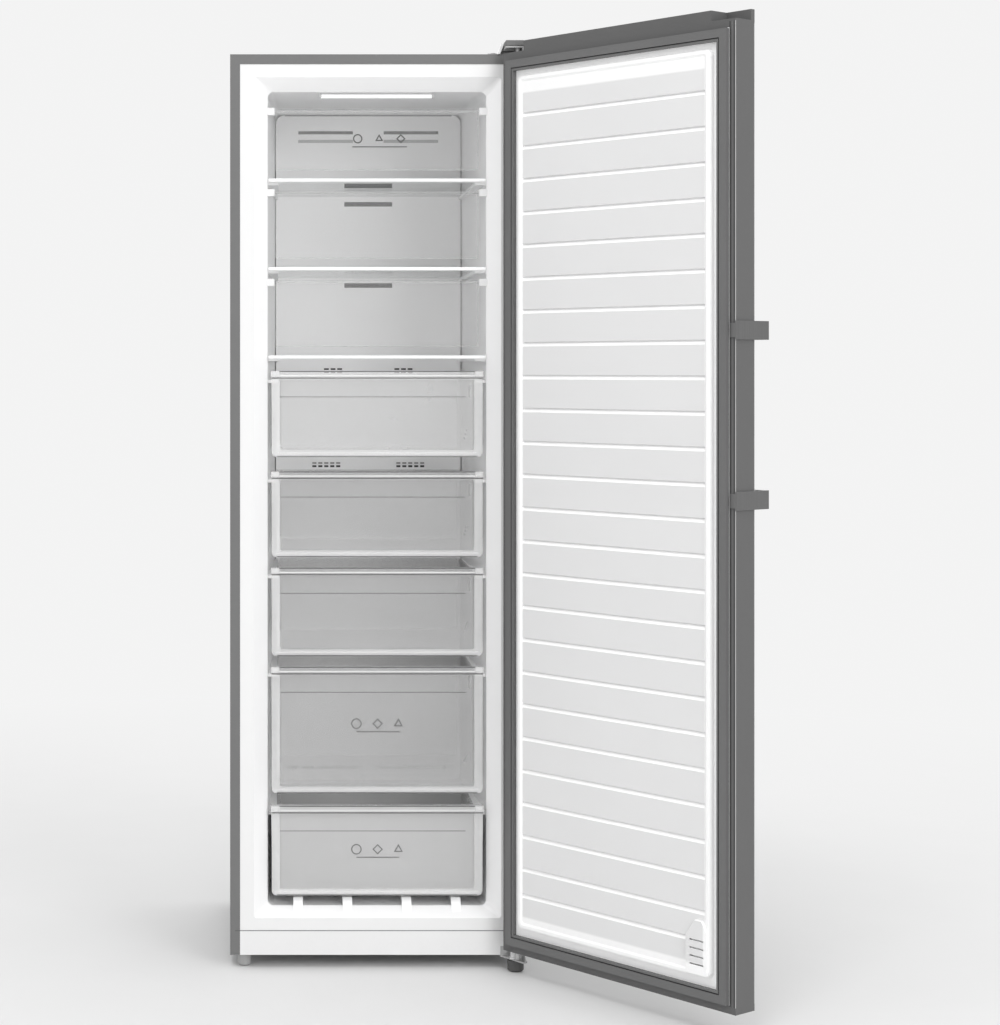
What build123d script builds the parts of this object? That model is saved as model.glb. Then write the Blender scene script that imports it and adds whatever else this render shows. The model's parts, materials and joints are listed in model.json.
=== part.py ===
from build123d import *
import os

# An upright no-frost freezer, 595 wide, with its door swung open on the right-hand side.
# Millimetres. +X is right seen from the front, +Y goes from the front to the back, +Z is up.
# The origin is on the floor, under the middle of the cabinet's footprint.

# ---------------------------------------------------------------- driving dimensions
cabinet_width = 595.0
cabinet_depth = 592.0
cabinet_height = 1817.0        # body of the cabinet, without its feet
floor_gap = 28.0               # floor to the underside of the cabinet
shell_sheet = 0.8              # painted steel of the outer shell and the door skin
shell_return = 20.0            # folded front edge of the shell, seen from the front

side_border = 48.0             # outer edge to the mouth of the compartment, each side
top_border = 46.0
plinth_height = 50.0
plinth_depth = 40.0
sill_height = 24.0             # liner flange between the plinth and the mouth
liner_wall = 1.5
liner_lap = 6.0                # liner flange tucked behind the shell's folded edge
flare_depth = 30.0             # the mouth narrows over this depth
flare_side = 27.5
flare_top = 26.5
flare_bottom = 19.0
throat_radius = 12.0
mouth_radius = 6.0
liner_draft = 15.5             # each side wall closes in by this much at the air cover
duct_depth = 78.0              # air cover to the liner's rear wall
cover_thickness = 2.0
cover_corner = 20.0
cover_side_gap = 2.0
rear_insulation = 64.0         # liner's rear wall to the back of the cabinet
step_insulation = 38.0         # liner's step to the compressor bay
step_height = 272.0            # top of that step above the cabinet's underside
bay_depth = 202.0              # compressor bay, measured from the back
bay_height = 234.0
panel_sheet = 1.0              # back panel and base panel
plinth_sheet = 2.0
back_emboss = 3.0              # how far the back panel's beads stand out
bead_width = 14.0
bead_side = 70.0               # panel's side to the outer edge of its beads
bead_corner = 25.0
bead_inner_corner = 18.0
lower_bead = [90.0, 690.0]     # ends of the lower bead above the bay's ceiling
upper_bead = [790.0, 100.0]    # start above the bay's ceiling, end below the cabinet's top

rail_reach = 22.0              # how far the moulded side rails reach in from the throat
rail_height = 6.0
rail_start = 45.0
rail_back_gap = 5.0            # rails' ends to the air cover
rib_width = 19.0
rib_height = 16.0
rib_spacing = 100.0
rib_places = [-1.6, -0.6, 0.6, 1.6]        # ribs' middles, in spacings from the middle plane
rib_start = 14.0

clearance = 0.3                # between pieces that slide or rest
running_fit = 0.05             # radial, pins in bores

shelf_heights = [1568.0, 1388.5, 1209.5]   # top of each shelf trim above the cabinet's underside
shelf_trim_height = 7.0
shelf_trim_depth = 16.0
shelf_trim_front = 18.0
shelf_trim_gap = 2.0           # trim's end to the compartment's side
shelf_glass = 4.0
shelf_glass_gap = 16.5         # glass's edge to the compartment's side

flap_gap = 17.5                # flap's lower edge to the shelf trim below it
flap_pivots = [1705.0, 1540.0, 1358.0]     # pivot heights above the cabinet's underside
flap_sheet = 2.5
flap_barrel_radius = 5.0
flap_pin_radius = 3.0
flap_pin_length = 8.0
flap_depth = 34.0              # pivot axis behind the front plane
lug_reach = 14.0
lug_length = 14.0
lug_height = 14.0

drawer_tops = [1178.0, 975.0, 780.0, 579.5, 298.5]      # rim tops above the cabinet's underside
drawer_bottoms = [1003.5, 800.5, 600.0, 322.0, 115.0]   # lower edges of the fronts
drawer_front = 20.0            # drawer fronts behind the front plane
drawer_back_gap = 12.0         # four drawers end this far ahead of the air cover
drawer_step_gap = 10.0         # the lowest ends this far ahead of the liner's step
drawer_front_gap = 7.0         # front's edge to the compartment's side
drawer_front_sheet = 3.0
drawer_corner = 12.0
drawer_rim_height = 15.0
drawer_rim_reach = 8.0         # rim bar stands this far ahead of the front
drawer_box_gap = 25.0          # box's side to the compartment's side
drawer_wall = 2.0
drawer_floor_lift = 6.0
drawer_lip = 5.5
drawer_lip_sheet = 3.0
drawer_slot_width = 5.0
drawer_slot_height = 26.0
drawer_slot_back = 70.0        # front plate to the finger slot

door_thickness = 55.0
door_gap = 10.0                # door's inner face to the cabinet's front plane
door_base = 19.0               # door's lower edge above the cabinet's underside
door_rise = 16.5               # door's upper edge above the cabinet's top
door_corner = 4.0
door_return = 14.0
door_top_cap = 23.5
door_bottom_cap = 12.0
cap_wall = 4.0
door_open_angle = 128.5        # how far the door stands open
gasket_edge = 15.0             # door's side to the gasket
gasket_width = 21.5
gasket_top_edge = 37.0         # door's top to the gasket
gasket_height = door_gap - clearance
gasket_wall = 2.0
magnet_height = 4.0
panel_edge_side = 49.5         # door's side to the raised liner panel
panel_top_edge = 69.5
panel_bottom_edge = 54.5
panel_height = 11.5
panel_slope = 3.5
crest_width = 6.0
field_drop = 2.0
field_floor = 5.5              # liner thickness under the grooved field
groove_pitch = 64.87
groove_first = 79.0            # raised panel's top to the first groove
groove_count = 24
groove_last_pitch = 52.0
groove_width = 9.0
groove_wall = 1.0              # height of the steep upper wall
groove_bottom = 1.5
groove_depth = 4.2

pivot_inset = 17.5             # hinge axis in from the door's side
pivot_ahead = 34.0             # hinge axis ahead of the cabinet's front plane
hinge_pin_radius = 5.0
hinge_plate = 3.0
hinge_collar_radius = 6.5
bush_radius = 8.0
notch_width = 57.0
notch_depth = 20.0
notch_wall = 12.0
hinge_arm_left = 26.0          # arm's edges from the hinge axis
hinge_arm_right = 10.0
hinge_arm_front = 13.0
hinge_arm_neck = -2.0          # right edge of the arm behind the door's swing
hinge_arm_lip = 6.0
bush_sink = 10.0               # upper bushes reach this far below the cap
hinge_arm_level = 7.0          # top arm's underside above the cabinet's top
screw_radius = 2.5
screw_head_radius = 5.0
screw_head_height = 2.5
screw_length = 14.0

left_foot_radius = 13.5
right_foot_radius = 16.5
foot_stem_radius = 5.0
foot_height = 22.0
foot_chamfer = 3.0
left_foot_inset = 28.0
left_foot_setback = 35.0
right_foot_inset = 20.5
right_foot_setback = -13.0
foot_stem_top = 43.0

roller_radius = 17.0
roller_width = 16.0
roller_inset = 35.0
roller_setback = 32.0          # roller axle ahead of the back
roller_axle_radius = 3.0
fork_sheet = 2.0
rail_plate_lift = 8.0
rail_plate_sheet = 1.5

compressor_radius = 74.0
compressor_height = 150.0
compressor_x = 95.0
compressor_setback = 101.0     # compressor's axis ahead of the back
mount_height = 14.0
mount_radius = 11.0
mount_bolt_radius = 3.0
mount_spread_x = 84.0
mount_spread_y = 52.0

fan_radius = 50.0
fan_hub_radius = 18.0
fan_blades = 5
fan_height = 742.0             # fan axis above the cabinet's underside
evaporator_base = 300.0
evaporator_height = 300.0
evaporator_side = 20.5         # air cover's half width to the fins' end
evaporator_depth = 56.0
fin_count = 13
fin_sheet = 1.2
tube_radius = 4.0
tube_inset = 18.0
tube_rows = 8
tube_row_pitch = 36.0
tube_bend = 17.0
heater_radius = 3.2
heater_drop = 12.0             # fins' underside to the heater
heater_half_gap = 14.0
heater_clip_place = 120.0
fan_back = 30.0                # air cover to the fan's plane

drain_radius = 9.0
drain_wall = 1.5
drain_setback = 22.0           # drain's axis ahead of the liner's rear wall
drain_pan_half_width = 80.0
drain_pan_half_depth = 62.0
drain_pan_height = 24.0
drain_pan_wall = 2.5
condenser_layer = 6.0
condenser_runs = 8
condenser_start = 110.0        # front plane to the first upright run
condenser_pitch = 50.0
condenser_tube = 2.4
condenser_bend = 20.0
line_radius = 3.0
line_bend = 16.0
dryer_x = -190.0
dryer_radius = 10.0
dryer_low = 70.0               # dryer's ends above the cabinet's underside
dryer_high = 176.0
dryer_back = 40.0              # dryer's axis behind the compressor's

sensor_half = 20.0
sensor_back = 8.0              # front plane to the door sensor's pocket
hinge_flange_sheet = 2.5
flange_screw_height = 9.0
flange_screw_insets = [40.0, 14.0]         # from the cabinet's right side
hinge_screw_insets = [(62.0, 28.0), (62.0, 56.0), (24.0, 56.0)]     # from the side, from the front

handle_level = 944.0           # lower bracket's middle above the cabinet's underside
handle_spacing = 308.0
bracket_height = 34.0
bracket_sheet = 4.0
handle_standoff = 35.0
handle_inset = 46.0            # bar's axis in from the door's side
handle_bar_width = 22.0
handle_bar_depth = 12.0
handle_overhang = 26.0
clip_reach = 12.0

vent_width = 56.0
vent_height = 69.0
vent_peak = 31.0
vent_edge = 4.5                # raised panel's edge to the housing's edge
vent_rise = 3.0                # housing stands this far above the raised panel
vent_corner = 5.0
vent_bevel = 1.0
vent_face = 3.0                # housing's front wall
vent_swing = 3.0               # flap's axis behind the front wall
vent_barrel_radius = 1.6
vent_pin_radius = 1.0
vent_pin_length = 3.5
vent_slot_width = 34.0
vent_slot_height = 3.0
vent_slot_pitch = 14.6
vent_flap_sheet = 1.5
vent_flap_height = 46.0
vent_axis_drop = 5.0
vent_slot_count = 4
vent_first_slot = 6.0          # housing's shoulder to the first slot

lamp_half = 116.0
lamp_start = 46.0              # front plane to the lamp in the ceiling
lamp_length = 16.0
lamp_housing = 4.0
lamp_wall = 3.0
lamp_drop = 5.0                # rim below the housing's lid
lamp_board_width = 8.0
lamp_chip = 5.0
lamp_chip_pitch = 24.0
lamp_chips = 9

lower_pad = [956.0, 988.0, 126.0]          # air cover's raised pads: low, high, half width
upper_pad = [1300.0, 1420.0, 70.0]
pad_rise = 2.5
pad_corner = 6.0

# ---------------------------------------------------------------- derived planes
half_width = cabinet_width / 2
front_y = -cabinet_depth / 2
back_y = cabinet_depth / 2
base_z = floor_gap
top_z = floor_gap + cabinet_height
seam_z = base_z + plinth_height
liner_front_y = front_y + shell_sheet
mouth_half = half_width - side_border
mouth_top = top_z - top_border
mouth_bottom = seam_z + sill_height
throat_y = front_y + flare_depth
throat_half = mouth_half - flare_side
throat_top = mouth_top - flare_top
throat_bottom = mouth_bottom + flare_bottom
cavity_depth = cabinet_depth - rear_insulation
cover_depth = cavity_depth - duct_depth
step_depth = cabinet_depth - bay_depth - step_insulation
cover_y = front_y + cover_depth
rear_wall_y = front_y + cavity_depth
cover_half = throat_half - liner_draft
draft_rate = liner_draft / (cover_depth - flare_depth)
rear_half = throat_half - draft_rate * (cavity_depth - flare_depth)
step_z = base_z + step_height
step_y = front_y + step_depth
bay_y = back_y - bay_depth
bay_z = base_z + bay_height
door_inner_y = front_y - door_gap
door_front_y = door_inner_y - door_thickness
door_bottom_z = base_z + door_base
door_top_z = top_z + door_rise
pivot_x = half_width - pivot_inset
pivot_y = front_y - pivot_ahead
arm_z = top_z + hinge_arm_level
bracket_plate_z = base_z - clearance - hinge_plate
door_skin_low = door_bottom_z + door_bottom_cap
door_skin_high = door_top_z - door_top_cap
door_opening_half = half_width - door_return
gasket_top = door_top_z - gasket_top_edge
gasket_bottom = door_bottom_z + gasket_edge + 1
door_opening_low = gasket_bottom - 1
door_opening_high = gasket_top + 1.5
rail_plate_z = base_z + rail_plate_lift
rail_half = throat_half - rail_reach
rail_end = cover_depth - rail_back_gap
shelf_trim_half = throat_half - shelf_trim_gap
shelf_glass_half = throat_half - shelf_glass_gap
drawer_front_half = throat_half - drawer_front_gap
drawer_box_half = throat_half - drawer_box_gap
long_drawer = cover_depth - drawer_front - drawer_back_gap
short_drawer = step_depth - drawer_front - drawer_step_gap
drawer_lengths = [long_drawer, long_drawer, long_drawer, long_drawer, short_drawer]
evaporator_width = 2 * (cover_half - evaporator_side)
evaporator_y = (cover_y + cover_thickness + rear_wall_y) / 2
heater_z = base_z + evaporator_base - heater_drop
fan_z = base_z + fan_height
fan_y = cover_y + fan_back
compressor_y = back_y - compressor_setback
compressor_z = rail_plate_z + rail_plate_sheet + mount_height
roller_y = back_y - roller_setback
drain_x = compressor_x
drain_y = rear_wall_y - drain_setback
dryer_base = base_z + dryer_low
dryer_top = base_z + dryer_high
sensor_y = front_y + sensor_back
hinge_screw_places = [(half_width - side, front_y + ahead) for side, ahead in hinge_screw_insets]
flange_screw_x = [half_width - inset for inset in flange_screw_insets]
flange_screw_z = base_z + flange_screw_height
field_half = half_width - panel_edge_side - panel_slope - crest_width
field_low = door_bottom_z + panel_bottom_edge + panel_slope + crest_width
field_high = door_top_z - panel_top_edge - panel_slope - crest_width
field_y = door_inner_y + panel_height - field_drop
vent_face_y = door_inner_y + panel_height + vent_rise
vent_axis_y = vent_face_y - vent_face - vent_swing
vent_centre = -half_width + panel_edge_side + (vent_edge + vent_width) / 2
vent_bottom = door_bottom_z + panel_bottom_edge + vent_edge
vent_axis_z = vent_bottom + vent_height - vent_axis_drop
handle_low_z = base_z + handle_level
handle_high_z = handle_low_z + handle_spacing
bar_x = -half_width + handle_inset
bar_y = door_front_y - handle_standoff + handle_bar_depth / 2

print("cabinet", cabinet_width, "x", cabinet_depth, "x", cabinet_height)
print("overall height", door_top_z, "overall depth closed", cabinet_depth + door_gap + door_thickness)

written = {}


# ---------------------------------------------------------------- helpers
def block(low, high):
    """A rectangular block between its lowest and its highest corner."""
    size = [b - a for a, b in zip(low, high)]
    middle = [(a + b) / 2 for a, b in zip(low, high)]
    return Pos(*middle) * Box(*size)


def slab(half, y_low, y_high, z_low, z_high):
    """A block centred on the middle plane of the freezer."""
    return block((-half, y_low, z_low), (half, y_high, z_high))


def rod(radius, start, end):
    """A round rod between two points."""
    start, end = Vector(*start), Vector(*end)
    along = end - start
    plane = Plane(origin=start, z_dir=along)
    return plane * Cylinder(radius, along.length, align=(Align.CENTER, Align.CENTER, Align.MIN))


def upright(radius, x, y, z_low, z_high):
    return rod(radius, (x, y, z_low), (x, y, z_high))


def facing_sketch(half, z_low, z_high, radius, y):
    """A rounded rectangle that stands in a plane parallel to the front."""
    plane = Plane(origin=(0, y, (z_low + z_high) / 2), x_dir=(1, 0, 0), z_dir=(0, 1, 0))
    return plane * RectangleRounded(2 * half, z_high - z_low, radius)


def funnel(first, second):
    return loft(Sketch() + [first, second], ruled=True)


def tube_along(points, bend, radius):
    """A round tube that follows straight runs joined by equal bends."""
    path = FilletPolyline(*points, radius=bend)
    start = Plane(origin=path @ 0, z_dir=path % 0)
    return sweep(start * Circle(radius), path=path)


def mirrored_pair(solid):
    return [solid, mirror(solid, Plane.YZ)]


def opened(solid):
    """Turn a door piece, drawn closed, to where the open door stands."""
    return Pos(pivot_x, pivot_y, 0) * Rot(0, 0, door_open_angle) * Pos(-pivot_x, -pivot_y, 0) * solid


def keep(name, *pieces):
    """Write one sub-part, a single solid or a group of separate ones."""
    solids = []
    for piece in pieces:
        solids += piece if isinstance(piece, (list, tuple)) else [piece]
    shape = solids[0] if len(solids) == 1 else Compound(children=[Part() + s for s in solids])
    written[name] = shape


# ---------------------------------------------------------------- liner space
def cavity(grow, front):
    """The space inside the liner, or its outer envelope where grow is the wall."""
    mouth = facing_sketch(mouth_half + grow, mouth_bottom - grow, mouth_top + grow, mouth_radius, front)
    throat = facing_sketch(throat_half + grow, throat_bottom - grow, throat_top + grow,
                           throat_radius, throat_y)
    rear = facing_sketch(rear_half + grow, throat_bottom - grow, throat_top + grow,
                         throat_radius, rear_wall_y + grow)
    space = funnel(mouth, throat) + funnel(throat, rear)
    step = slab(half_width, step_y + grow, back_y, base_z, step_z - grow)
    return space - step


def wall_half_at(y):
    """Half the compartment's width at a given depth."""
    return throat_half - draft_rate * (y - throat_y)


def drawer_lip_underside(index):
    return base_z + drawer_tops[index] - drawer_rim_height - drawer_lip_sheet


def shelf_glass_under(height):
    """Underside of the glass whose trim has its top at the given height."""
    return base_z + height - (shelf_trim_height + shelf_glass) / 2


def rail_levels():
    """Top face of each moulded side rail, with how far back it runs."""
    levels = []
    for index, length in enumerate(drawer_lengths):
        rail_back = min(rail_end, drawer_front + length + drawer_rim_reach)
        levels.append((drawer_lip_underside(index) - clearance, rail_back))
    for height in shelf_heights:
        levels.append((shelf_glass_under(height), rail_end))
    return levels


def side_rails():
    rails = []
    for level, back in rail_levels():
        rail = block((rail_half, front_y + rail_start, level - rail_height),
                     (throat_half + liner_wall, front_y + back, level))
        rails += mirrored_pair(rail)
    return rails


def floor_ribs():
    ribs = []
    rib_top = throat_bottom + rib_height
    for place in rib_places:
        middle = place * rib_spacing
        profile = Polyline((front_y + rib_start, mouth_bottom + liner_wall * 6),
                           (front_y + flare_depth + 2, rib_top),
                           (step_y, rib_top), (step_y, throat_bottom - liner_wall / 2),
                           (front_y + flare_depth, throat_bottom - liner_wall / 2), close=True)
        face = make_face(Plane.YZ * profile)
        ribs.append(Pos(middle - rib_width / 2, 0, 0) * extrude(face, rib_width, dir=(1, 0, 0)))
    return ribs


def flap_lugs():
    """Pivot lugs on both side walls, with the bores for the flaps' pins."""
    lugs = []
    for height in flap_pivots:
        z = base_z + height
        y = front_y + flap_depth
        lug = block((throat_half - lug_reach, y - lug_length / 2, z - lug_height / 2),
                    (throat_half + liner_wall, y + lug_length / 2, z + lug_height / 2))
        bore = rod(flap_pin_radius + running_fit, (throat_half - lug_reach - 1, y, z),
                   (throat_half - lug_reach + flap_pin_length + 1, y, z))
        lugs += mirrored_pair(lug - bore)
    return lugs


def make_liner():
    envelope = cavity(liner_wall, liner_front_y)
    flange_half = half_width - shell_return + liner_lap
    flange = slab(flange_half, liner_front_y, liner_front_y + liner_wall, seam_z,
                  top_z - shell_return + liner_lap)
    liner = envelope + flange - cavity(0, liner_front_y - clearance / 3)
    for piece in side_rails() + floor_ribs() + flap_lugs():
        liner += piece & envelope
    return liner


# ---------------------------------------------------------------- screws and their places
def screw(x, y, seat_z):
    """An upright round-headed screw whose head sits on seat_z."""
    head = upright(screw_head_radius, x, y, seat_z, seat_z + screw_head_height)
    return head + upright(screw_radius, x, y, seat_z - screw_length, seat_z)


def flange_screws():
    """Screws through the lower hinge's upright flange into the plinth."""
    screws = []
    for x in flange_screw_x:
        seat = front_y - hinge_flange_sheet
        head = rod(screw_head_radius - 1, (x, seat - screw_head_height + 0.5, flange_screw_z),
                   (x, seat, flange_screw_z))
        shank = rod(screw_radius, (x, seat, flange_screw_z), (x, seat + screw_length, flange_screw_z))
        screws.append(head + shank)
    return screws


def flange_holes():
    return [rod(screw_radius, (x, front_y - 5, flange_screw_z), (x, front_y + 20, flange_screw_z))
            for x in flange_screw_x]


def screw_hole(x, y, z_low, z_high):
    return upright(screw_radius, x, y, z_low, z_high)


# ---------------------------------------------------------------- cabinet shell, panels, foam
def make_shell():
    outside = slab(half_width, front_y, back_y, base_z, top_z)
    inside = slab(half_width - shell_sheet, front_y + shell_sheet, back_y + 1, base_z - 1,
                  top_z - shell_sheet)
    mouth = slab(half_width - shell_return, front_y - 1, front_y + shell_sheet + 1, base_z - 1,
                 top_z - shell_return)
    shell = outside - inside - mouth
    for x, y in hinge_screw_places:
        shell -= screw_hole(x, y, top_z - 2 * shell_sheet, top_z + 1)
    for hole in flange_holes():
        shell -= hole
    return shell


def make_base_panel():
    """Sheet under the foam: along the floor, up the compressor bay and over it."""
    half = half_width - shell_sheet
    under = slab(half, front_y + plinth_depth, bay_y, seam_z - panel_sheet, seam_z)
    riser = slab(half, bay_y - panel_sheet, bay_y, seam_z - panel_sheet, bay_z + panel_sheet)
    roof = slab(half, bay_y - panel_sheet, back_y - panel_sheet, bay_z, bay_z + panel_sheet)
    panel = under + riser + roof - upright(drain_radius, drain_x, drain_y, bay_z - 5, bay_z + 5)
    for pipe in make_pipes():
        panel -= pipe
    return panel


def make_back_panel():
    half = half_width - shell_sheet
    sheet = slab(half, back_y - panel_sheet, back_y, bay_z, top_z - shell_sheet)
    beads = [(bay_z + lower_bead[0], bay_z + lower_bead[1]), (bay_z + upper_bead[0], top_z - upper_bead[1])]
    for z_low, z_high in beads:
        bead = facing_sketch(half - bead_side, z_low, z_high, bead_corner, back_y)
        hole = facing_sketch(half - bead_side - bead_width, z_low + bead_width, z_high - bead_width,
                             bead_inner_corner, back_y)
        sheet += extrude(bead - hole, back_emboss, dir=(0, 1, 0))
    return sheet


def make_foam():
    half = half_width - shell_sheet
    foam = slab(half, liner_front_y + liner_wall, back_y - panel_sheet, seam_z, top_z - shell_sheet)
    foam -= cavity(liner_wall, liner_front_y)
    foam -= slab(half + 1, bay_y - panel_sheet, back_y, base_z, bay_z + panel_sheet)
    coil_space = block((half - condenser_layer, front_y + 90, bay_z + 60),
                       (half + 1, back_y - 60, top_z - 160))
    for space in mirrored_pair(coil_space):
        foam -= space
    foam -= upright(drain_radius, drain_x, drain_y, bay_z, step_z)
    foam -= slab(sensor_half, sensor_y - 1, sensor_y + 13, top_z - 25, top_z)
    for x, y in hinge_screw_places:
        foam -= screw_hole(x, y, top_z - 2 * screw_length, top_z)
    for pipe in make_pipes():
        foam -= pipe
    return foam


def make_plinth():
    """The white beam across the bottom of the front, a folded channel open to the back."""
    half = half_width - shell_sheet
    beam = slab(half, front_y + shell_sheet, front_y + plinth_depth, base_z, seam_z)
    hollow = slab(half - 1.5 * plinth_sheet, front_y + shell_sheet + plinth_sheet,
                  front_y + plinth_depth + 1, base_z + plinth_sheet, seam_z - plinth_sheet)
    raised = slab(half_width - shell_return, front_y, front_y + shell_sheet, base_z, seam_z - 0.6)
    plinth = beam - hollow + raised
    for x, y, _ in foot_places():
        if y > front_y:
            plinth -= upright(foot_stem_radius + running_fit, x, y, base_z - 1, base_z + 5)
    for hole in flange_holes():
        plinth -= hole
    return plinth


# ---------------------------------------------------------------- feet and rollers
def foot_places():
    return [(-half_width + left_foot_inset, front_y + left_foot_setback, left_foot_radius),
            (half_width - right_foot_inset, front_y + right_foot_setback, right_foot_radius)]


def make_foot(x, y, radius, ceiling):
    """A levelling foot: a round pad, a collar and a threaded stem drawn plain."""
    pad = upright(radius, x, y, 0, foot_height)
    pad = chamfer(pad.edges().sort_by(Axis.Z)[0], foot_chamfer)
    collar = upright(foot_stem_radius + 3, x, y, foot_height, ceiling - clearance)
    stem = upright(foot_stem_radius, x, y, foot_height, foot_stem_top)
    return pad + collar + stem


def make_roller(side):
    x = side * (half_width - roller_inset)
    wheel = rod(roller_radius, (x - roller_width / 2, roller_y, roller_radius),
                (x + roller_width / 2, roller_y, roller_radius))
    wheel = chamfer(wheel.edges().filter_by(GeomType.CIRCLE), 1.5)
    return wheel - rod(roller_axle_radius + running_fit, (x - roller_width, roller_y, roller_radius),
                       (x + roller_width, roller_y, roller_radius))


def make_roller_forks():
    """Two inverted channels under the compressor rail that hold the rear rollers' axles."""
    forks = []
    for side in (-1, 1):
        x = side * (half_width - roller_inset)
        inner = roller_width / 2 + 1.5
        outer = inner + fork_sheet
        channel = block((x - outer, roller_y - 11, roller_radius - 8), (x + outer, roller_y + 11,
                                                                      rail_plate_z))
        channel -= block((x - inner, roller_y - 20, 0),
                         (x + inner, roller_y + 20, 2 * roller_radius + clearance))
        channel -= rod(roller_axle_radius, (x - outer - 1, roller_y, roller_radius),
                       (x + outer + 1, roller_y, roller_radius))
        forks.append(channel)
    return forks


def make_roller_axles():
    axles = []
    for side in (-1, 1):
        x = side * (half_width - roller_inset)
        reach = roller_width / 2 + 1.5 + fork_sheet
        axle = rod(roller_axle_radius, (x - reach - 1, roller_y, roller_radius),
                   (x + reach + 1, roller_y, roller_radius))
        axles.append(axle)
    return axles


def make_compressor_rail():
    """Pressed tray across the bottom of the bay, with its edges turned up."""
    half = half_width - shell_sheet
    tray = slab(half, bay_y, back_y - 4, rail_plate_z, rail_plate_z + 18)
    tray -= slab(half - rail_plate_sheet, bay_y + rail_plate_sheet, back_y - 4 - rail_plate_sheet,
                 rail_plate_z + rail_plate_sheet, rail_plate_z + 19)
    for x, y in mount_places():
        tray -= upright(mount_bolt_radius, x, y, rail_plate_z - 1, rail_plate_z + 5)
    return tray


# ---------------------------------------------------------------- cooling machinery
def mount_places():
    return [(compressor_x + sx * mount_spread_x, compressor_y + sy * mount_spread_y)
            for sx in (-1, 1) for sy in (-1, 1)]


def make_compressor_mounts():
    """Four rubber grommets, each round its bolt."""
    mounts = []
    for x, y in mount_places():
        low = rail_plate_z + rail_plate_sheet
        rubber = upright(mount_radius, x, y, low, low + mount_height)
        rubber -= upright(mount_bolt_radius, x, y, low - 1, low + mount_height + 1)
        mounts.append(rubber)
    return mounts


def make_compressor_bolts():
    bolts = []
    for x, y in mount_places():
        top = compressor_z + 3.0
        shank = upright(mount_bolt_radius, x, y, rail_plate_z, top)
        head = upright(mount_bolt_radius * 2.2, x, y, top, top + 4)
        bolts.append(shank + head)
    return bolts


def make_compressor():
    pot = upright(compressor_radius, compressor_x, compressor_y, compressor_z + 3,
                  compressor_z + compressor_height)
    pot = fillet(pot.edges().filter_by(GeomType.CIRCLE).sort_by(Axis.Z)[-1], 34)
    pot = fillet(pot.edges().filter_by(GeomType.CIRCLE).sort_by(Axis.Z)[0], 14)
    seam = upright(compressor_radius + 2.5, compressor_x, compressor_y, compressor_z + 70,
                   compressor_z + 76)
    foot = block((compressor_x - mount_spread_x - 14, compressor_y - mount_spread_y - 12, compressor_z),
                 (compressor_x + mount_spread_x + 14, compressor_y + mount_spread_y + 12,
                  compressor_z + 3))
    for x, y in mount_places():
        foot -= upright(mount_bolt_radius, x, y, compressor_z - 1, compressor_z + 5)
    relay = block((compressor_x + compressor_radius - 8, compressor_y - 24, compressor_z + 22),
                  (compressor_x + compressor_radius + 26, compressor_y + 24, compressor_z + 66))
    return pot + seam + foot + relay


def make_drain_pan():
    """Open evaporation tray that sits on top of the compressor."""
    low = compressor_z + compressor_height
    inner_width = drain_pan_half_width - drain_pan_wall
    inner_depth = drain_pan_half_depth - drain_pan_wall
    tray = block((compressor_x - drain_pan_half_width, compressor_y - drain_pan_half_depth, low),
                 (compressor_x + drain_pan_half_width, compressor_y + drain_pan_half_depth,
                  low + drain_pan_height))
    hollow = block((compressor_x - inner_width, compressor_y - inner_depth, low + drain_pan_wall),
                   (compressor_x + inner_width, compressor_y + inner_depth, low + drain_pan_height + 1))
    return tray - hollow


def make_drain_tube():
    tube = upright(drain_radius, drain_x, drain_y, bay_z - 14, step_z - liner_wall)
    return tube - upright(drain_radius - drain_wall, drain_x, drain_y, bay_z - 20, step_z)


def line_paths():
    """Centre lines of the discharge, return and liquid pipes in the compressor bay."""
    left = compressor_x - compressor_radius - 2.5
    mid_y = compressor_y
    top = bay_z + panel_sheet + 24
    discharge = [(left, mid_y - 14, compressor_z + 40), (left - 46, mid_y - 14, compressor_z + 40),
                 (left - 46, mid_y - 14, compressor_z + 120), (left - 96, mid_y - 14, compressor_z + 120),
                 (left - 96, mid_y - 14, top)]
    suction = [(left, mid_y + 18, compressor_z + 52), (left - 26, mid_y + 18, compressor_z + 52),
               (left - 26, mid_y + 18, top)]
    liquid = [(dryer_x, mid_y + dryer_back, dryer_top), (dryer_x, mid_y + dryer_back, top)]
    return [discharge, suction, liquid]


def make_pipes():
    discharge, suction, liquid = line_paths()
    bent = [tube_along(path, line_bend, line_radius) for path in (discharge, suction)]
    return bent + [rod(line_radius, *liquid)]


def make_filter_dryer():
    y = compressor_y + dryer_back
    body = upright(dryer_radius, dryer_x, y, dryer_base, dryer_top)
    body = chamfer(body.edges().filter_by(GeomType.CIRCLE), 4)
    clip = block((dryer_x - dryer_radius - 2, y, dryer_base + 40),
                 (dryer_x + dryer_radius + 2, y + dryer_radius + 2, dryer_base + 54))
    stem = block((dryer_x - 6, y + dryer_radius, dryer_base + 43),
                 (dryer_x + 6, back_y - 4 - rail_plate_sheet, dryer_base + 51))
    return body + clip + stem


def serpentine(points_across, x, low, high):
    """Up-and-down runs of tube in a plane parallel to the side wall."""
    points = []
    for index, y in enumerate(points_across):
        first, last = (low, high) if index % 2 == 0 else (high, low)
        points += [(x, y, first), (x, y, last)]
    return points


def make_condenser():
    half = half_width - shell_sheet
    runs = [front_y + condenser_start + condenser_pitch * index for index in range(condenser_runs)]
    path = serpentine(runs, half - condenser_tube - 0.2, bay_z + 80, top_z - 180)
    return mirrored_pair(tube_along(path, condenser_bend, condenser_tube))


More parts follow.
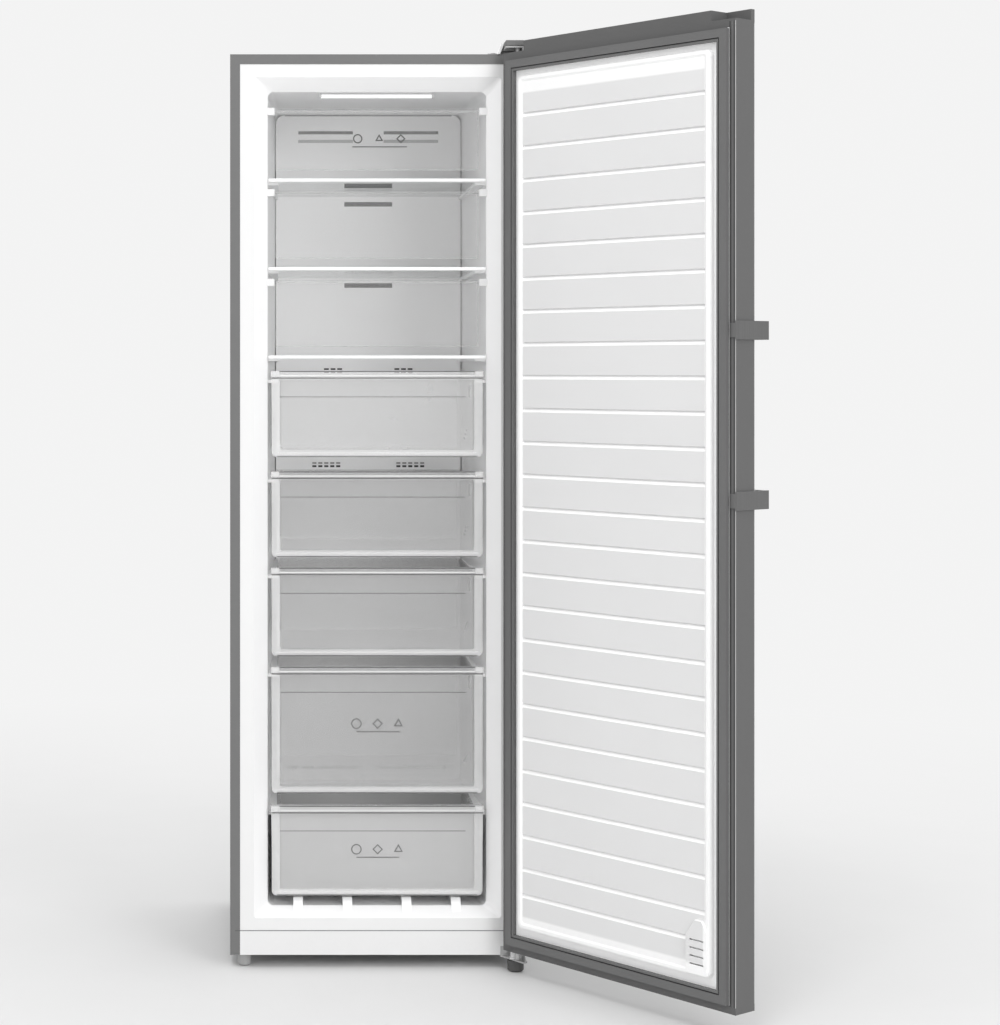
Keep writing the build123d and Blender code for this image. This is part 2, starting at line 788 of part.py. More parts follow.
def make_power_box():
    """Plastic control box on the left wall of the bay, with the mains socket in its rear face."""
    box = block((-half_width + shell_sheet, back_y - 110, base_z + 70),
                (-half_width + 62, back_y - 12, base_z + 190))
    box = fillet(box.edges().filter_by(Axis.Y), 4)
    socket = block((-half_width + 20, back_y - 32, base_z + 96), (-half_width + 47, back_y - 5,
                                                                 base_z + 116))
    return box - socket


def make_mains_pins():
    """The three flat pins in the mains socket."""
    pins = []
    for x, z in ((-7, -2), (7, -2), (0, 4)):
        middle_x = -half_width + 33.5 + x
        middle_z = base_z + 106 + z
        pins.append(block((middle_x - 1, back_y - 32, middle_z - 2), (middle_x + 1, back_y - 17,
                                                                       middle_z + 2)))
    return pins


def make_evaporator():
    """Serpentine tube pressed through a row of upright fins."""
    low = base_z + evaporator_base
    half = evaporator_width / 2
    fins = None
    for index in range(fin_count):
        x = -half + 20 + index * (evaporator_width - 40) / (fin_count - 1)
        fin = block((x - fin_sheet / 2, evaporator_y - evaporator_depth / 2, low),
                    (x + fin_sheet / 2, evaporator_y + evaporator_depth / 2, low + evaporator_height))
        fins = fin if fins is None else fins + fin
    points = []
    for row in range(tube_rows):
        z = low + 20 + row * tube_row_pitch
        ends = (tube_inset - half, half - tube_inset)
        ends = ends if row % 2 == 0 else ends[::-1]
        points += [(ends[0], evaporator_y, z), (ends[1], evaporator_y, z)]
    return fins + tube_along(points, tube_bend, tube_radius)


def make_evaporator_straps():
    """Two hangers that hold the fin pack off the liner's rear wall."""
    straps = []
    low = base_z + evaporator_base
    for side in (-1, 1):
        x = side * (evaporator_width / 2 - tube_inset + tube_radius + 2 + clearance)
        strap = block((x - 2, evaporator_y - 22, step_z),
                      (x + 2, rear_wall_y, low + evaporator_height - 10))
        straps.append(strap)
    return straps


def make_heater():
    """Defrost heater, a U of sheathed rod under the fins."""
    half = evaporator_width / 2 - 24
    ahead = evaporator_y - heater_half_gap
    behind = evaporator_y + heater_half_gap
    points = [(half, ahead, heater_z), (-half, ahead, heater_z), (-half, behind, heater_z),
              (half, behind, heater_z)]
    return tube_along(points, 12, heater_radius)


def make_heater_feet():
    """Clips on the liner's step that hold the heater's two runs."""
    feet = []
    for side in (-1, 1):
        x = side * heater_clip_place
        foot = block((x - 3, evaporator_y - 22, step_z), (x + 3, evaporator_y + 22, heater_z + 6))
        for y in (evaporator_y - heater_half_gap, evaporator_y + heater_half_gap):
            foot -= rod(heater_radius, (x - 5, y, heater_z), (x + 5, y, heater_z))
        feet.append(foot)
    return feet


def make_fan_shroud():
    """Partition across the air duct with the fan's round mouth in it."""
    half = wall_half_at(fan_y) - 3
    low = fan_z - 85
    plate = slab(half, fan_y - 2, fan_y + 2, low, fan_z + 85)
    plate -= rod(fan_radius + 4, (0, fan_y - 5, fan_z), (0, fan_y + 5, fan_z))
    ring = rod(fan_radius + 7, (0, fan_y - 9, fan_z), (0, fan_y + 9, fan_z))
    ring -= rod(fan_radius + 4, (0, fan_y - 10, fan_z), (0, fan_y + 10, fan_z))
    shelf = slab(half, cover_y + cover_thickness, fan_y + 2, low, low + 3)
    lid = slab(half, fan_y - 2, rear_wall_y, fan_z + 82, fan_z + 85)
    return plate + ring + shelf + lid


def make_fan_motor():
    body = rod(22, (0, fan_y + 14, fan_z), (0, rear_wall_y, fan_z))
    shaft = rod(2, (0, fan_y - 6, fan_z), (0, fan_y + 14, fan_z))
    return body + shaft


def make_fan_rotor():
    hub = rod(fan_hub_radius, (0, fan_y - 8, fan_z), (0, fan_y + 10, fan_z))
    rotor = hub
    for index in range(fan_blades):
        blade = block((fan_hub_radius - 3, -1, -11), (fan_radius, 1, 11))
        blade = Rot(38, 0, 0) * blade
        blade = Rot(0, index * 360 / fan_blades, 0) * blade
        rotor += Pos(0, fan_y + 1, fan_z) * blade
    return rotor - rod(2 + running_fit, (0, fan_y - 9, fan_z), (0, fan_y + 12, fan_z))


# ---------------------------------------------------------------- air cover, lamp, sensor
def slot_row(z, height, spans):
    """Slots cut through the air cover; spans lists each slot's start and end from the middle."""
    return [block((start, cover_y - 5, z - height / 2), (end, cover_y + 10, z + height / 2))
            for start, end in spans]


def evenly(start, end, count, gap):
    """Equal slots with a gap between them, from start to end."""
    width = (end - start - gap * (count - 1)) / count
    return [(start + index * (width + gap), start + index * (width + gap) + width)
            for index in range(count)]


def both_sides(spans):
    return spans + [(-end, -start) for start, end in spans]


vent_rows = [
    (1705.5, 7.0, both_sides([(34, 155)])),
    (1686.5, 7.0, both_sides([(34, 155)])),
    (1588.0, 10.0, [(-53, 53)]),
    (1547.0, 10.0, [(-53, 53)]),
    (1367.0, 10.0, [(-53, 53)]),
    (1182.0, 4.0, both_sides(evenly(58, 98, 3, 4))),
    (1175.0, 4.0, both_sides(evenly(58, 98, 3, 4))),
    (974.0, 4.5, both_sides(evenly(62, 124, 5, 4))),
    (967.0, 4.5, both_sides(evenly(62, 124, 5, 4))),
    (560.0, 8.0, both_sides(evenly(40, 160, 4, 8))),
    (300.0, 8.0, both_sides(evenly(20, 180, 5, 8))),
]


def make_air_cover():
    """Moulded panel in front of the evaporator, with its air slots and two raised pads."""
    sketch = facing_sketch(cover_half - cover_side_gap, step_z + clearance, throat_top - clearance,
                           cover_corner, cover_y)
    cover = extrude(sketch, cover_thickness, dir=(0, 1, 0))
    for low, high, half in (lower_pad, upper_pad):
        pad = facing_sketch(half, base_z + low, base_z + high, pad_corner, cover_y)
        cover += extrude(pad, pad_rise, dir=(0, -1, 0))
    for height, tall, spans in vent_rows:
        for slot in slot_row(base_z + height, tall, spans):
            cover -= slot
    return cover


def lamp_slab(inset, z_low, z_high):
    """A slab that fills the lamp's plan, less an inset on every side."""
    return slab(lamp_half - inset, front_y + lamp_start + inset,
                front_y + lamp_start + lamp_length - inset, z_low, z_high)


def make_lamp_housing():
    low = throat_top - lamp_housing - lamp_drop
    return lamp_slab(0, low, throat_top) - lamp_slab(lamp_wall, low - 1, throat_top - lamp_housing)


def make_lamp_lens():
    low = throat_top - lamp_housing - lamp_drop
    return lamp_slab(lamp_wall, low, low + lamp_wall - clearance)


def make_lamp_board():
    """The row of light-emitting diodes on its strip, above the lens."""
    z = throat_top - lamp_housing
    middle_y = front_y + lamp_start + lamp_length / 2
    half_board = lamp_board_width / 2
    board = slab(lamp_half - 2 * lamp_wall, middle_y - half_board, middle_y + half_board, z - 1.2, z)
    half_chip = lamp_chip / 2
    for index in range(lamp_chips):
        x = (index - (lamp_chips - 1) / 2) * lamp_chip_pitch
        board += block((x - half_chip, middle_y - half_chip, z - 1.9),
                       (x + half_chip, middle_y + half_chip, z - 1.2))
    return board


def make_door_sensor():
    """Magnet switch sealed behind the top of the front, opposite the magnet in the door."""
    return slab(sensor_half - 1, sensor_y, sensor_y + 12, top_z - 24, top_z - shell_sheet)


# ---------------------------------------------------------------- hinges
def make_top_hinge():
    """Bracket on the cabinet's top: a screwed foot, a step and an arm over the hinge pin."""
    heel_left = half_width - 50
    heel_right = pivot_x + 4
    back = front_y + 14
    foot = block((half_width - 74, front_y + 12, top_z), (half_width - 12, front_y + 68,
                                                          top_z + hinge_plate))
    step = block((heel_left, front_y + 9, top_z), (heel_right, back, arm_z + hinge_plate))
    heel = block((heel_left, front_y + 4, arm_z), (heel_right, back, arm_z + hinge_plate))
    neck = block((pivot_x - hinge_arm_left, pivot_y, arm_z),
                 (pivot_x + hinge_arm_neck, back, arm_z + hinge_plate))
    head = block((pivot_x - hinge_arm_left, pivot_y - hinge_arm_front, arm_z),
                 (pivot_x + hinge_arm_right, pivot_y + hinge_arm_front, arm_z + hinge_plate))
    lip = block((pivot_x + hinge_arm_right - hinge_plate, pivot_y - hinge_arm_front, arm_z - hinge_arm_lip),
                (pivot_x + hinge_arm_right, pivot_y + hinge_arm_front, arm_z + hinge_plate))
    bracket = foot + step + heel + neck + head + lip
    for x, y in hinge_screw_places:
        bracket -= screw_hole(x, y, top_z - 1, top_z + hinge_plate + 1)
    return bracket - upright(hinge_pin_radius, pivot_x, pivot_y, arm_z - 1, arm_z + hinge_plate + 1)


def make_top_pin():
    return upright(hinge_pin_radius, pivot_x, pivot_y, door_skin_high - bush_sink + 1, arm_z + hinge_plate)


def make_bottom_hinge():
    """Bracket on the plinth: an upright flange with a plate that carries the pin and a foot."""
    left = half_width - 50
    right = half_width - 1.5
    outline = Polyline((left, front_y), (pivot_x + 8.5, pivot_y - 24), (right, pivot_y - 18),
                       (right, front_y), close=True)
    plate = Pos(0, 0, bracket_plate_z) * extrude(make_face(outline), hinge_plate, dir=(0, 0, 1))
    flange = block((left, front_y - hinge_flange_sheet, bracket_plate_z),
                   (right, front_y, door_bottom_z - 1))
    tail = block((left, front_y, bracket_plate_z), (right, front_y + 60, bracket_plate_z + hinge_plate))
    bracket = plate + flange + tail
    foot_x, foot_y, foot_radius = foot_places()[1]
    bracket -= upright(foot_stem_radius + running_fit, foot_x, foot_y, 0, base_z + 2)
    bracket -= upright(hinge_pin_radius, pivot_x, pivot_y, 0, base_z)
    for hole in flange_holes():
        bracket -= hole
    return bracket


def make_bottom_pin():
    shank = upright(hinge_pin_radius, pivot_x, pivot_y, bracket_plate_z, door_skin_low - 1)
    collar = upright(hinge_collar_radius, pivot_x, pivot_y, bracket_plate_z + hinge_plate,
                     door_bottom_z - clearance)
    return shank + collar


def make_hinge_screws():
    screws = [screw(x, y, top_z + hinge_plate) for x, y in hinge_screw_places]
    return screws + flange_screws()


# ---------------------------------------------------------------- shelves and flaps
def make_shelf_glasses():
    glasses = []
    for height in shelf_heights:
        z = shelf_glass_under(height)
        glass = slab(shelf_glass_half, front_y + shelf_trim_front + 6, cover_y - 6, z, z + shelf_glass)
        glasses.append(glass)
    return glasses


def make_shelf_trims():
    trims = []
    for height in shelf_heights:
        top = base_z + height
        trim = slab(shelf_trim_half, front_y + shelf_trim_front,
                    front_y + shelf_trim_front + shelf_trim_depth, top - shelf_trim_height, top)
        trim = fillet(trim.edges().filter_by(Axis.X).group_by(Axis.Y)[0], 3)
        z = shelf_glass_under(height)
        trim -= slab(shelf_glass_half, front_y + shelf_trim_front + 6,
                     front_y + shelf_trim_front + shelf_trim_depth + 1, z, z + shelf_glass)
        trims.append(trim)
    return trims


def make_flap(index):
    """Clear flap that hangs from a barrel with a pin at each end."""
    z = base_z + flap_pivots[index]
    y = front_y + flap_depth
    half = throat_half - lug_reach - 2
    bottom = base_z + shelf_heights[index] + flap_gap
    panel = slab(half, y - flap_barrel_radius, y - flap_barrel_radius + flap_sheet, bottom, z)
    barrel = rod(flap_barrel_radius, (-half, y, z), (half, y, z))
    lip = slab(half, y - flap_barrel_radius, y - flap_barrel_radius + 7, bottom, bottom + 2.5)
    pins = rod(flap_pin_radius, (-half - flap_pin_length, y, z), (half + flap_pin_length, y, z))
    return panel + barrel + lip + pins


# ---------------------------------------------------------------- drawers
def drawer_front_plate(half_top, half_bottom, low, high, y, sheet):
    """An upright plate, a little narrower at its rounded foot."""
    sketch = Polyline((-half_bottom, low), (half_bottom, low), (half_top, high), (-half_top, high),
                      close=True)
    face = make_face(sketch)
    face = fillet(face.vertices().group_by(Axis.Y)[0], drawer_corner)
    plane = Plane(origin=(0, y, 0), x_dir=(1, 0, 0), z_dir=(0, -1, 0))
    return extrude(plane * face, sheet, dir=(0, 1, 0))


def make_drawer(index):
    """Clear drawer: a front with a rim bar, and an open box that hangs on the side rails."""
    top = base_z + drawer_tops[index]
    low = base_z + drawer_bottoms[index]
    y0 = front_y + drawer_front
    back = y0 + drawer_lengths[index]
    front = drawer_front_plate(drawer_front_half, drawer_front_half - 3, low, top, y0,
                               drawer_front_sheet)
    rim = slab(drawer_front_half, y0 - drawer_rim_reach, y0 + drawer_rim_reach,
               top - drawer_rim_height, top)
    rim = fillet(rim.edges().filter_by(Axis.X).group_by(Axis.Y)[0], 3)
    rim -= slab(drawer_front_half - 16, y0 + drawer_front_sheet, y0 + 20,
                top - drawer_rim_height - 1, top - 3)
    box_top = top - drawer_rim_height
    box_low = low + drawer_floor_lift
    outside = slab(drawer_box_half, y0 + 1, back, box_low, box_top)
    outside = fillet(outside.edges().filter_by(Axis.Y).group_by(Axis.Z)[0], 10)
    inside = slab(drawer_box_half - drawer_wall, y0 + drawer_front_sheet, back - drawer_wall,
                  box_low + drawer_wall, box_top + 1)
    inside = fillet(inside.edges().filter_by(Axis.Y).group_by(Axis.Z)[0], 8)
    lip = slab(drawer_box_half + drawer_lip, y0 + 1, back, box_top - drawer_lip_sheet, box_top)
    lip -= slab(drawer_box_half - drawer_wall, y0 + drawer_front_sheet, back - drawer_wall, box_top - 10,
                box_top + 1)
    drawer = front + rim + outside - inside + lip
    for slot in drawer_slots(box_low, box_top):
        drawer -= slot
    return drawer


def drawer_slots(box_low, box_top):
    """Finger slots and small air slots through both side walls."""
    slots = []
    y0 = front_y + drawer_front + drawer_slot_back
    upper = box_top - 14
    slots.append(slab(drawer_box_half + 2, y0, y0 + drawer_slot_width, upper - drawer_slot_height, upper))
    for step in range(3):
        y = y0 + 60 + 26 * step
        z = box_low + 42 - 9 * step
        slots.append(slab(drawer_box_half + 2, y, y + 14, z, z + 4))
    return slots


# ---------------------------------------------------------------- door
def door_plan(inset):
    """Plan outline of the door, drawn closed, with rounded front corners."""
    half = half_width - inset
    outline = Polyline((-half, door_inner_y - inset), (half, door_inner_y - inset),
                       (half, door_front_y + inset), (-half, door_front_y + inset), close=True)
    face = make_face(outline)
    return fillet(face.vertices().group_by(Axis.Y)[0], door_corner - inset)


def door_prism(inset, z_low, z_high):
    return Pos(0, 0, z_low) * extrude(door_plan(inset), z_high - z_low, dir=(0, 0, 1))


def make_door_skin():
    skin = door_prism(0, door_skin_low, door_skin_high)
    skin -= door_prism(shell_sheet, door_skin_low - 1, door_skin_high + 1)
    skin -= slab(door_opening_half, door_inner_y - 2, door_inner_y + 2, door_opening_low,
                 door_opening_high)
    return opened(skin)


def notch(side):
    """Corner recess of the top cap that the hinge arm swings in."""
    outer = side * (half_width + 1)
    inner = side * (half_width - notch_width)
    return block((min(inner, outer), door_front_y + notch_wall, door_top_z - notch_depth),
                 (max(inner, outer), door_inner_y + 1, door_top_z + 1))


def hinge_sides():
    """Places for the hinge at the side in use and at the side kept for a reversed door."""
    return [-pivot_x, pivot_x]


def upper_bush_hole():
    """Room for the upper bushes in the cap and in the foam under it."""
    low = door_skin_high - bush_sink
    holes = [upright(bush_radius, x, pivot_y, low, door_top_z) for x in hinge_sides()]
    return holes[0] + holes[1]


def make_top_cap():
    cap = door_prism(0, door_skin_high, door_top_z)
    cap -= slab(half_width - notch_width - cap_wall, door_front_y + cap_wall, door_inner_y - cap_wall,
                door_skin_high - 1, door_top_z - cap_wall)
    for side in (-1, 1):
        cap -= notch(side)
    return opened(cap - upper_bush_hole())


def make_bottom_cap():
    cap = door_prism(0, door_bottom_z, door_skin_low)
    for x in hinge_sides():
        cap -= upright(bush_radius, x, pivot_y, door_bottom_z - 1, door_skin_low + 1)
    return opened(cap)


def make_hinge_bushes():
    """Plastic sleeves at the top and the bottom of both sides."""
    bushes = []
    for x in hinge_sides():
        for low, high in ((door_bottom_z, door_skin_low),
                          (door_skin_high - bush_sink, door_top_z - notch_depth)):
            sleeve = upright(bush_radius, x, pivot_y, low, high)
            sleeve -= upright(hinge_pin_radius + running_fit, x, pivot_y, low - 1, high + 1)
            bushes.append(opened(sleeve))
    return bushes


def raised_panel():
    """The liner's raised middle as a block with sloped sides."""
    base = facing_sketch(half_width - panel_edge_side, door_bottom_z + panel_bottom_edge,
                         door_top_z - panel_top_edge, 14, door_inner_y)
    crest = facing_sketch(half_width - panel_edge_side - panel_slope,
                          door_bottom_z + panel_bottom_edge + panel_slope,
                          door_top_z - panel_top_edge - panel_slope, 12, door_inner_y + panel_height)
    return funnel(base, crest)


def groove_levels():
    top = door_top_z - panel_top_edge - groove_first
    levels = [top - groove_pitch * index for index in range(groove_count)]
    return levels + [levels[-1] - groove_last_pitch]


def groove_at(z, left):
    """One groove across the field, steep above and sloped below."""
    top = z + groove_width / 2
    floor_y = field_y - groove_depth
    outline = Polyline((field_y, top), (field_y + 1, top), (field_y + 1, top - groove_width),
                       (field_y, top - groove_width), (floor_y, top - groove_wall - groove_bottom),
                       (floor_y, top - groove_wall), close=True)
    face = make_face(Plane.YZ * outline)
    return Pos(left, 0, 0) * extrude(face, field_half - 4 - left, dir=(1, 0, 0))


def vent_outline():
    """House-shaped outline of the pressure valve's housing, in the free lower corner."""
    right = -half_width + panel_edge_side + vent_width
    left = -half_width + panel_edge_side + vent_edge
    low = door_bottom_z + panel_bottom_edge + vent_edge
    middle = (left + right) / 2 - 4
    return left, right, low, middle


def make_vent_housing():
    left, right, low, middle = vent_outline()
    outline = Polyline((left, low), (right, low), (right, low + vent_height),
                       (middle + 8, low + vent_height + vent_peak),
                       (middle - 8, low + vent_height + vent_peak), (left, low + vent_height + 10),
                       close=True)
    face = make_face(outline)
    face = fillet(face.vertices().group_by(Axis.Y)[0], vent_corner)
    plane = Plane(origin=(0, door_inner_y, 0), x_dir=(1, 0, 0), z_dir=(0, -1, 0))
    housing = extrude(plane * face, panel_height + vent_rise, dir=(0, 1, 0))
    return chamfer(housing.faces().sort_by(Axis.Y)[-1].edges(), vent_bevel)


def vent_slots():
    half = vent_slot_width / 2
    slots = []
    for index in range(vent_slot_count):
        z = vent_bottom + vent_height - vent_first_slot - vent_slot_pitch * index
        slots.append(block((vent_centre - half, door_inner_y, z - vent_slot_height / 2),
                           (vent_centre + half, vent_face_y + 1, z + vent_slot_height / 2)))
    return slots


def vent_chamber():
    """Pocket behind the slots in which the valve's flap hangs."""
    half = vent_slot_width / 2 + 1
    return block((vent_centre - half, door_inner_y - 1, vent_bottom + 8),
                 (vent_centre + half, vent_face_y - vent_face, vent_bottom + vent_height - 2))


def make_vent_flap():
    half = vent_slot_width / 2 - 1
    reach = half + vent_pin_length
    flap = block((vent_centre - half, vent_axis_y - vent_flap_sheet / 2, vent_axis_z - vent_flap_height),
                 (vent_centre + half, vent_axis_y + vent_flap_sheet / 2, vent_axis_z))
    barrel = rod(vent_barrel_radius, (vent_centre - half, vent_axis_y, vent_axis_z),
                 (vent_centre + half, vent_axis_y, vent_axis_z))
    pins = rod(vent_pin_radius, (vent_centre - reach, vent_axis_y, vent_axis_z),
               (vent_centre + reach, vent_axis_y, vent_axis_z))
    return opened(flap + barrel + pins)


def vent_pin_bore():
    reach = vent_slot_width / 2 + vent_pin_length
    return rod(vent_pin_radius + running_fit, (vent_centre - reach, vent_axis_y, vent_axis_z),
               (vent_centre + reach, vent_axis_y, vent_axis_z))


def foam_core():
    """Foam that fills the raised panel from behind, above the valve's housing."""
    return slab(half_width - panel_edge_side - 8, door_inner_y - 3, field_y - field_floor,
                door_bottom_z + panel_bottom_edge + vent_height + 14, door_top_z - panel_top_edge - 8)


def make_door_liner():
    flange = slab(door_opening_half - 0.2, door_inner_y - liner_wall, door_inner_y,
                  door_opening_low + 0.2, door_opening_high - 0.2)
    panel = raised_panel()
    outer = facing_sketch(field_half, field_low, field_high, 6, door_inner_y + panel_height)
    inner = facing_sketch(field_half - 4, field_low + 4, field_high - 4, 4, field_y)
    dish = funnel(outer, inner)
    grooves = []
    for z in groove_levels():
        cleared = z < door_bottom_z + panel_bottom_edge + vent_height + vent_peak + 6
        left = vent_outline()[1] + 4 if cleared else -field_half + 4
        grooves.append(groove_at(z, left))
    liner = flange + panel - dish
    for groove in grooves:
        liner -= groove
    liner += make_vent_housing()
    liner -= foam_core()
    liner -= vent_chamber()
    liner -= vent_pin_bore()
    for slot in vent_slots():
        liner -= slot
    return opened(liner)


def make_door_foam():
    foam = door_prism(shell_sheet, door_skin_low, door_skin_high)
    foam &= slab(half_width, door_front_y, door_inner_y - liner_wall, base_z, top_z)
    return opened(foam + foam_core() - upper_bush_hole())


def gasket_ring(edge, top, bottom, width, y_low, y_high):
    half = half_width - edge
    ring = slab(half, y_low, y_high, bottom, top)
    return ring - slab(half - width, y_low - 1, y_high + 1, bottom + width, top - width)


def make_gasket():
    """Flexible seal with a hollow along its whole length for the magnets."""
    ring = gasket_ring(gasket_edge, gasket_top, gasket_bottom, gasket_width, door_inner_y,
                       door_inner_y + gasket_height)
    pocket_low = door_inner_y + gasket_height - gasket_wall - magnet_height
    pocket = gasket_ring(gasket_edge + 5, gasket_top - 5, gasket_bottom + 5, gasket_width - 10,
                         pocket_low, pocket_low + magnet_height)
    lip_groove = gasket_ring(gasket_edge + gasket_width - 6, gasket_top - gasket_width + 6,
                             gasket_bottom + gasket_width - 6, 2.5,
                             door_inner_y + gasket_height - 3, door_inner_y + gasket_height + 1)
    return opened(ring - pocket - lip_groove)


def make_gasket_magnets():
    """Four magnetic strips sealed in the gasket."""
    strips = []
    low = door_inner_y + gasket_height - gasket_wall - magnet_height
    half = half_width - gasket_edge - 5
    width = gasket_width - 10
    upper = gasket_top - 5
    lower = gasket_bottom + 5
    for side in (-1, 1):
        inner, outer = side * (half - width + 0.3), side * (half - 0.3)
        strips.append(block((min(inner, outer), low + 0.3, lower + width + 2),
                            (max(inner, outer), low + magnet_height - 0.3, upper - width - 2)))
    for z_low in (lower + 0.3, upper - width + 0.3):
        strips.append(slab(half - 2, low + 0.3, low + magnet_height - 0.3, z_low, z_low + width - 0.6))
    return [opened(strip) for strip in strips]


# ---------------------------------------------------------------- handle
def make_handle_bar():
    low = handle_low_z - handle_overhang
    high = handle_high_z + handle_overhang
    bar = block((bar_x - handle_bar_width / 2, bar_y - handle_bar_depth / 2, low),
                (bar_x + handle_bar_width / 2, bar_y + handle_bar_depth / 2, high))
    bar = fillet(bar.edges().filter_by(Axis.Z), 5)
    return opened(bar)


def make_handle_brackets():
    """Two flat brackets, hooked over the door's side, that hold the bar off the front."""
    brackets = []
    side_x = -half_width - bracket_sheet
    end_y = door_front_y - handle_standoff
    for z in (handle_low_z, handle_high_z):
        low, high = z - bracket_height / 2, z + bracket_height / 2
        cheek = block((side_x, end_y, low), (-half_width, door_inner_y + 2.5, high))
        hook = block((side_x, door_inner_y, low + 4), (-half_width + clip_reach, door_inner_y + 2.5,
                                                      high - 4))
        arm = block((side_x, end_y, low), (bar_x - handle_bar_width / 2, end_y + bracket_sheet + 6, high))
        brace = block((-half_width, door_front_y - bracket_sheet, low),
                      (-half_width + 22, door_front_y, high))
        bracket = cheek + hook + arm + brace
        bracket = fillet(bracket.edges().filter_by(Axis.Z).group_by(Axis.Y)[0].group_by(Axis.X)[0], 3.5)
        bracket -= rod(screw_radius, (-half_width + 14, door_front_y - 10, z), (-half_width + 14,
                                                                                door_front_y + 1, z))
        brackets.append(opened(bracket))
    return brackets


def make_handle_screws():
    screws = []
    for z in (handle_low_z, handle_high_z):
        x = -half_width + 14
        seat = door_front_y - bracket_sheet
        head = rod(screw_head_radius - 1, (x, seat - 2, z), (x, seat, z))
        shank = rod(screw_radius, (x, seat, z), (x, door_front_y, z))
        screws.append(opened(head + shank))
    return screws


# ---------------------------------------------------------------- write every sub-part
keep("outer_shell", make_shell())
keep("inner_liner", make_liner())
keep("cabinet_foam", make_foam())
keep("back_panel", make_back_panel())
keep("base_panel", make_base_panel())
keep("plinth_beam", make_plinth())
keep("air_cover", make_air_cover())
keep("evaporator_coil", make_evaporator())
keep("coil_supports", make_evaporator_straps(), make_heater_feet())
keep("defrost_heater", make_heater())
keep("fan_shroud", make_fan_shroud())
keep("fan_motor", make_fan_motor())
keep("fan_rotor", make_fan_rotor())
keep("drain_tube", make_drain_tube())
keep("drain_pan", make_drain_pan())
keep("compressor", make_compressor())
keep("compressor_mounts", make_compressor_mounts())
keep("compressor_bolts", make_compressor_bolts())
keep("compressor_rail", make_compressor_rail())
keep("refrigerant_pipes", make_pipes())
keep("filter_dryer", make_filter_dryer())
keep("side_condenser", make_condenser())
keep("control_box", make_power_box())
keep("mains_pins", make_mains_pins())
keep("lamp_housing", make_lamp_housing())
keep("lamp_lens", make_lamp_lens())
keep("lamp_board", make_lamp_board())
keep("door_sensor", make_door_sensor())
keep("top_hinge_bracket", make_top_hinge())
keep("bottom_hinge_bracket", make_bottom_hinge())
keep("hinge_pins", make_top_pin(), make_bottom_pin())
keep("hinge_screws", make_hinge_screws())
left_place, right_place = foot_places()
keep("left_foot", make_foot(*left_place, base_z))
keep("right_foot", make_foot(*right_place, bracket_plate_z))
keep("left_roller", make_roller(-1))
keep("right_roller", make_roller(1))
keep("roller_forks", make_roller_forks())
keep("roller_axles", make_roller_axles())
keep("shelf_glasses", make_shelf_glasses())
keep("shelf_trims", make_shelf_trims())
for number in range(len(flap_pivots)):
    keep(f"flap_{number + 1}", make_flap(number))
for number in range(len(drawer_tops)):
    keep(f"drawer_{number + 1}", make_drawer(number))
keep("door_skin", make_door_skin())
keep("door_liner", make_door_liner())
keep("door_foam", make_door_foam())
keep("door_top_cap", make_top_cap())
keep("door_bottom_cap", make_bottom_cap())
keep("door_gasket", make_gasket())
keep("gasket_magnets", make_gasket_magnets())
keep("hinge_bushes", make_hinge_bushes())
keep("handle_bar", make_handle_bar())
keep("handle_brackets", make_handle_brackets())
keep("handle_screws", make_handle_screws())
keep("vent_flap", make_vent_flap())

os.makedirs("parts", exist_ok=True)
for name, shape in written.items():
    export_step(shape, f"parts/{name}.step")
print(len(written), "sub-parts written")
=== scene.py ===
# %% [markdown]
# # An upright freezer with its door open
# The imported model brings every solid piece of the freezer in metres, already in place. This lesson
# dresses it: a camera, soft light, finishes made of shader nodes, and the fine moulded detail that is
# easier to model here than in the solid model. Each cell prints what it made.

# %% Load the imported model
import json
import math

import bpy
from mathutils import Matrix, Vector


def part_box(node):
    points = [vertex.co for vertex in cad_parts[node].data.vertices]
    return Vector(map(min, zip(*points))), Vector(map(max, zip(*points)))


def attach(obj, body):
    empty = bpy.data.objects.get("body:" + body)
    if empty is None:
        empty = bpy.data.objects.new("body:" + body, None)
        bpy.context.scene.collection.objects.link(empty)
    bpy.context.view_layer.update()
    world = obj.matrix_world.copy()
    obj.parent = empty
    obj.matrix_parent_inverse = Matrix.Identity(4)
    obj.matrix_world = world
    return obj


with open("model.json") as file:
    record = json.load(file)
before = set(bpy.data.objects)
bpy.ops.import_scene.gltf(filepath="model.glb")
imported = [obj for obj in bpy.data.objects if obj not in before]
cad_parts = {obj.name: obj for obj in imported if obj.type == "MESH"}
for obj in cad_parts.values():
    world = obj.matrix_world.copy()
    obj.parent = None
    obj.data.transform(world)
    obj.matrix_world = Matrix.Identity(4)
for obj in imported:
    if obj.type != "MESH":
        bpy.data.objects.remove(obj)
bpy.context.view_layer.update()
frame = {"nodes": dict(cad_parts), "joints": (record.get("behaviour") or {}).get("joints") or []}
nodes = frame["nodes"]
millimetre = 0.001

# %% [markdown]
# ## The camera
# The photograph is taken straight on: upright edges stay upright and the shelves' edges stay level.
# Such a picture comes from a level camera whose lens is shifted, as on a view camera, and not from one
# that is tilted or turned. The eye is at the height of the handle, a little left of the middle.

# %% Camera
picture_width, picture_height = 1000, 1025
focal_pixels = 2280
eye_in_picture = (273, 370)
eye = Vector((-0.211, -4.896, 1.208))
sensor = 36.0
quarter_turn = math.radians(90)

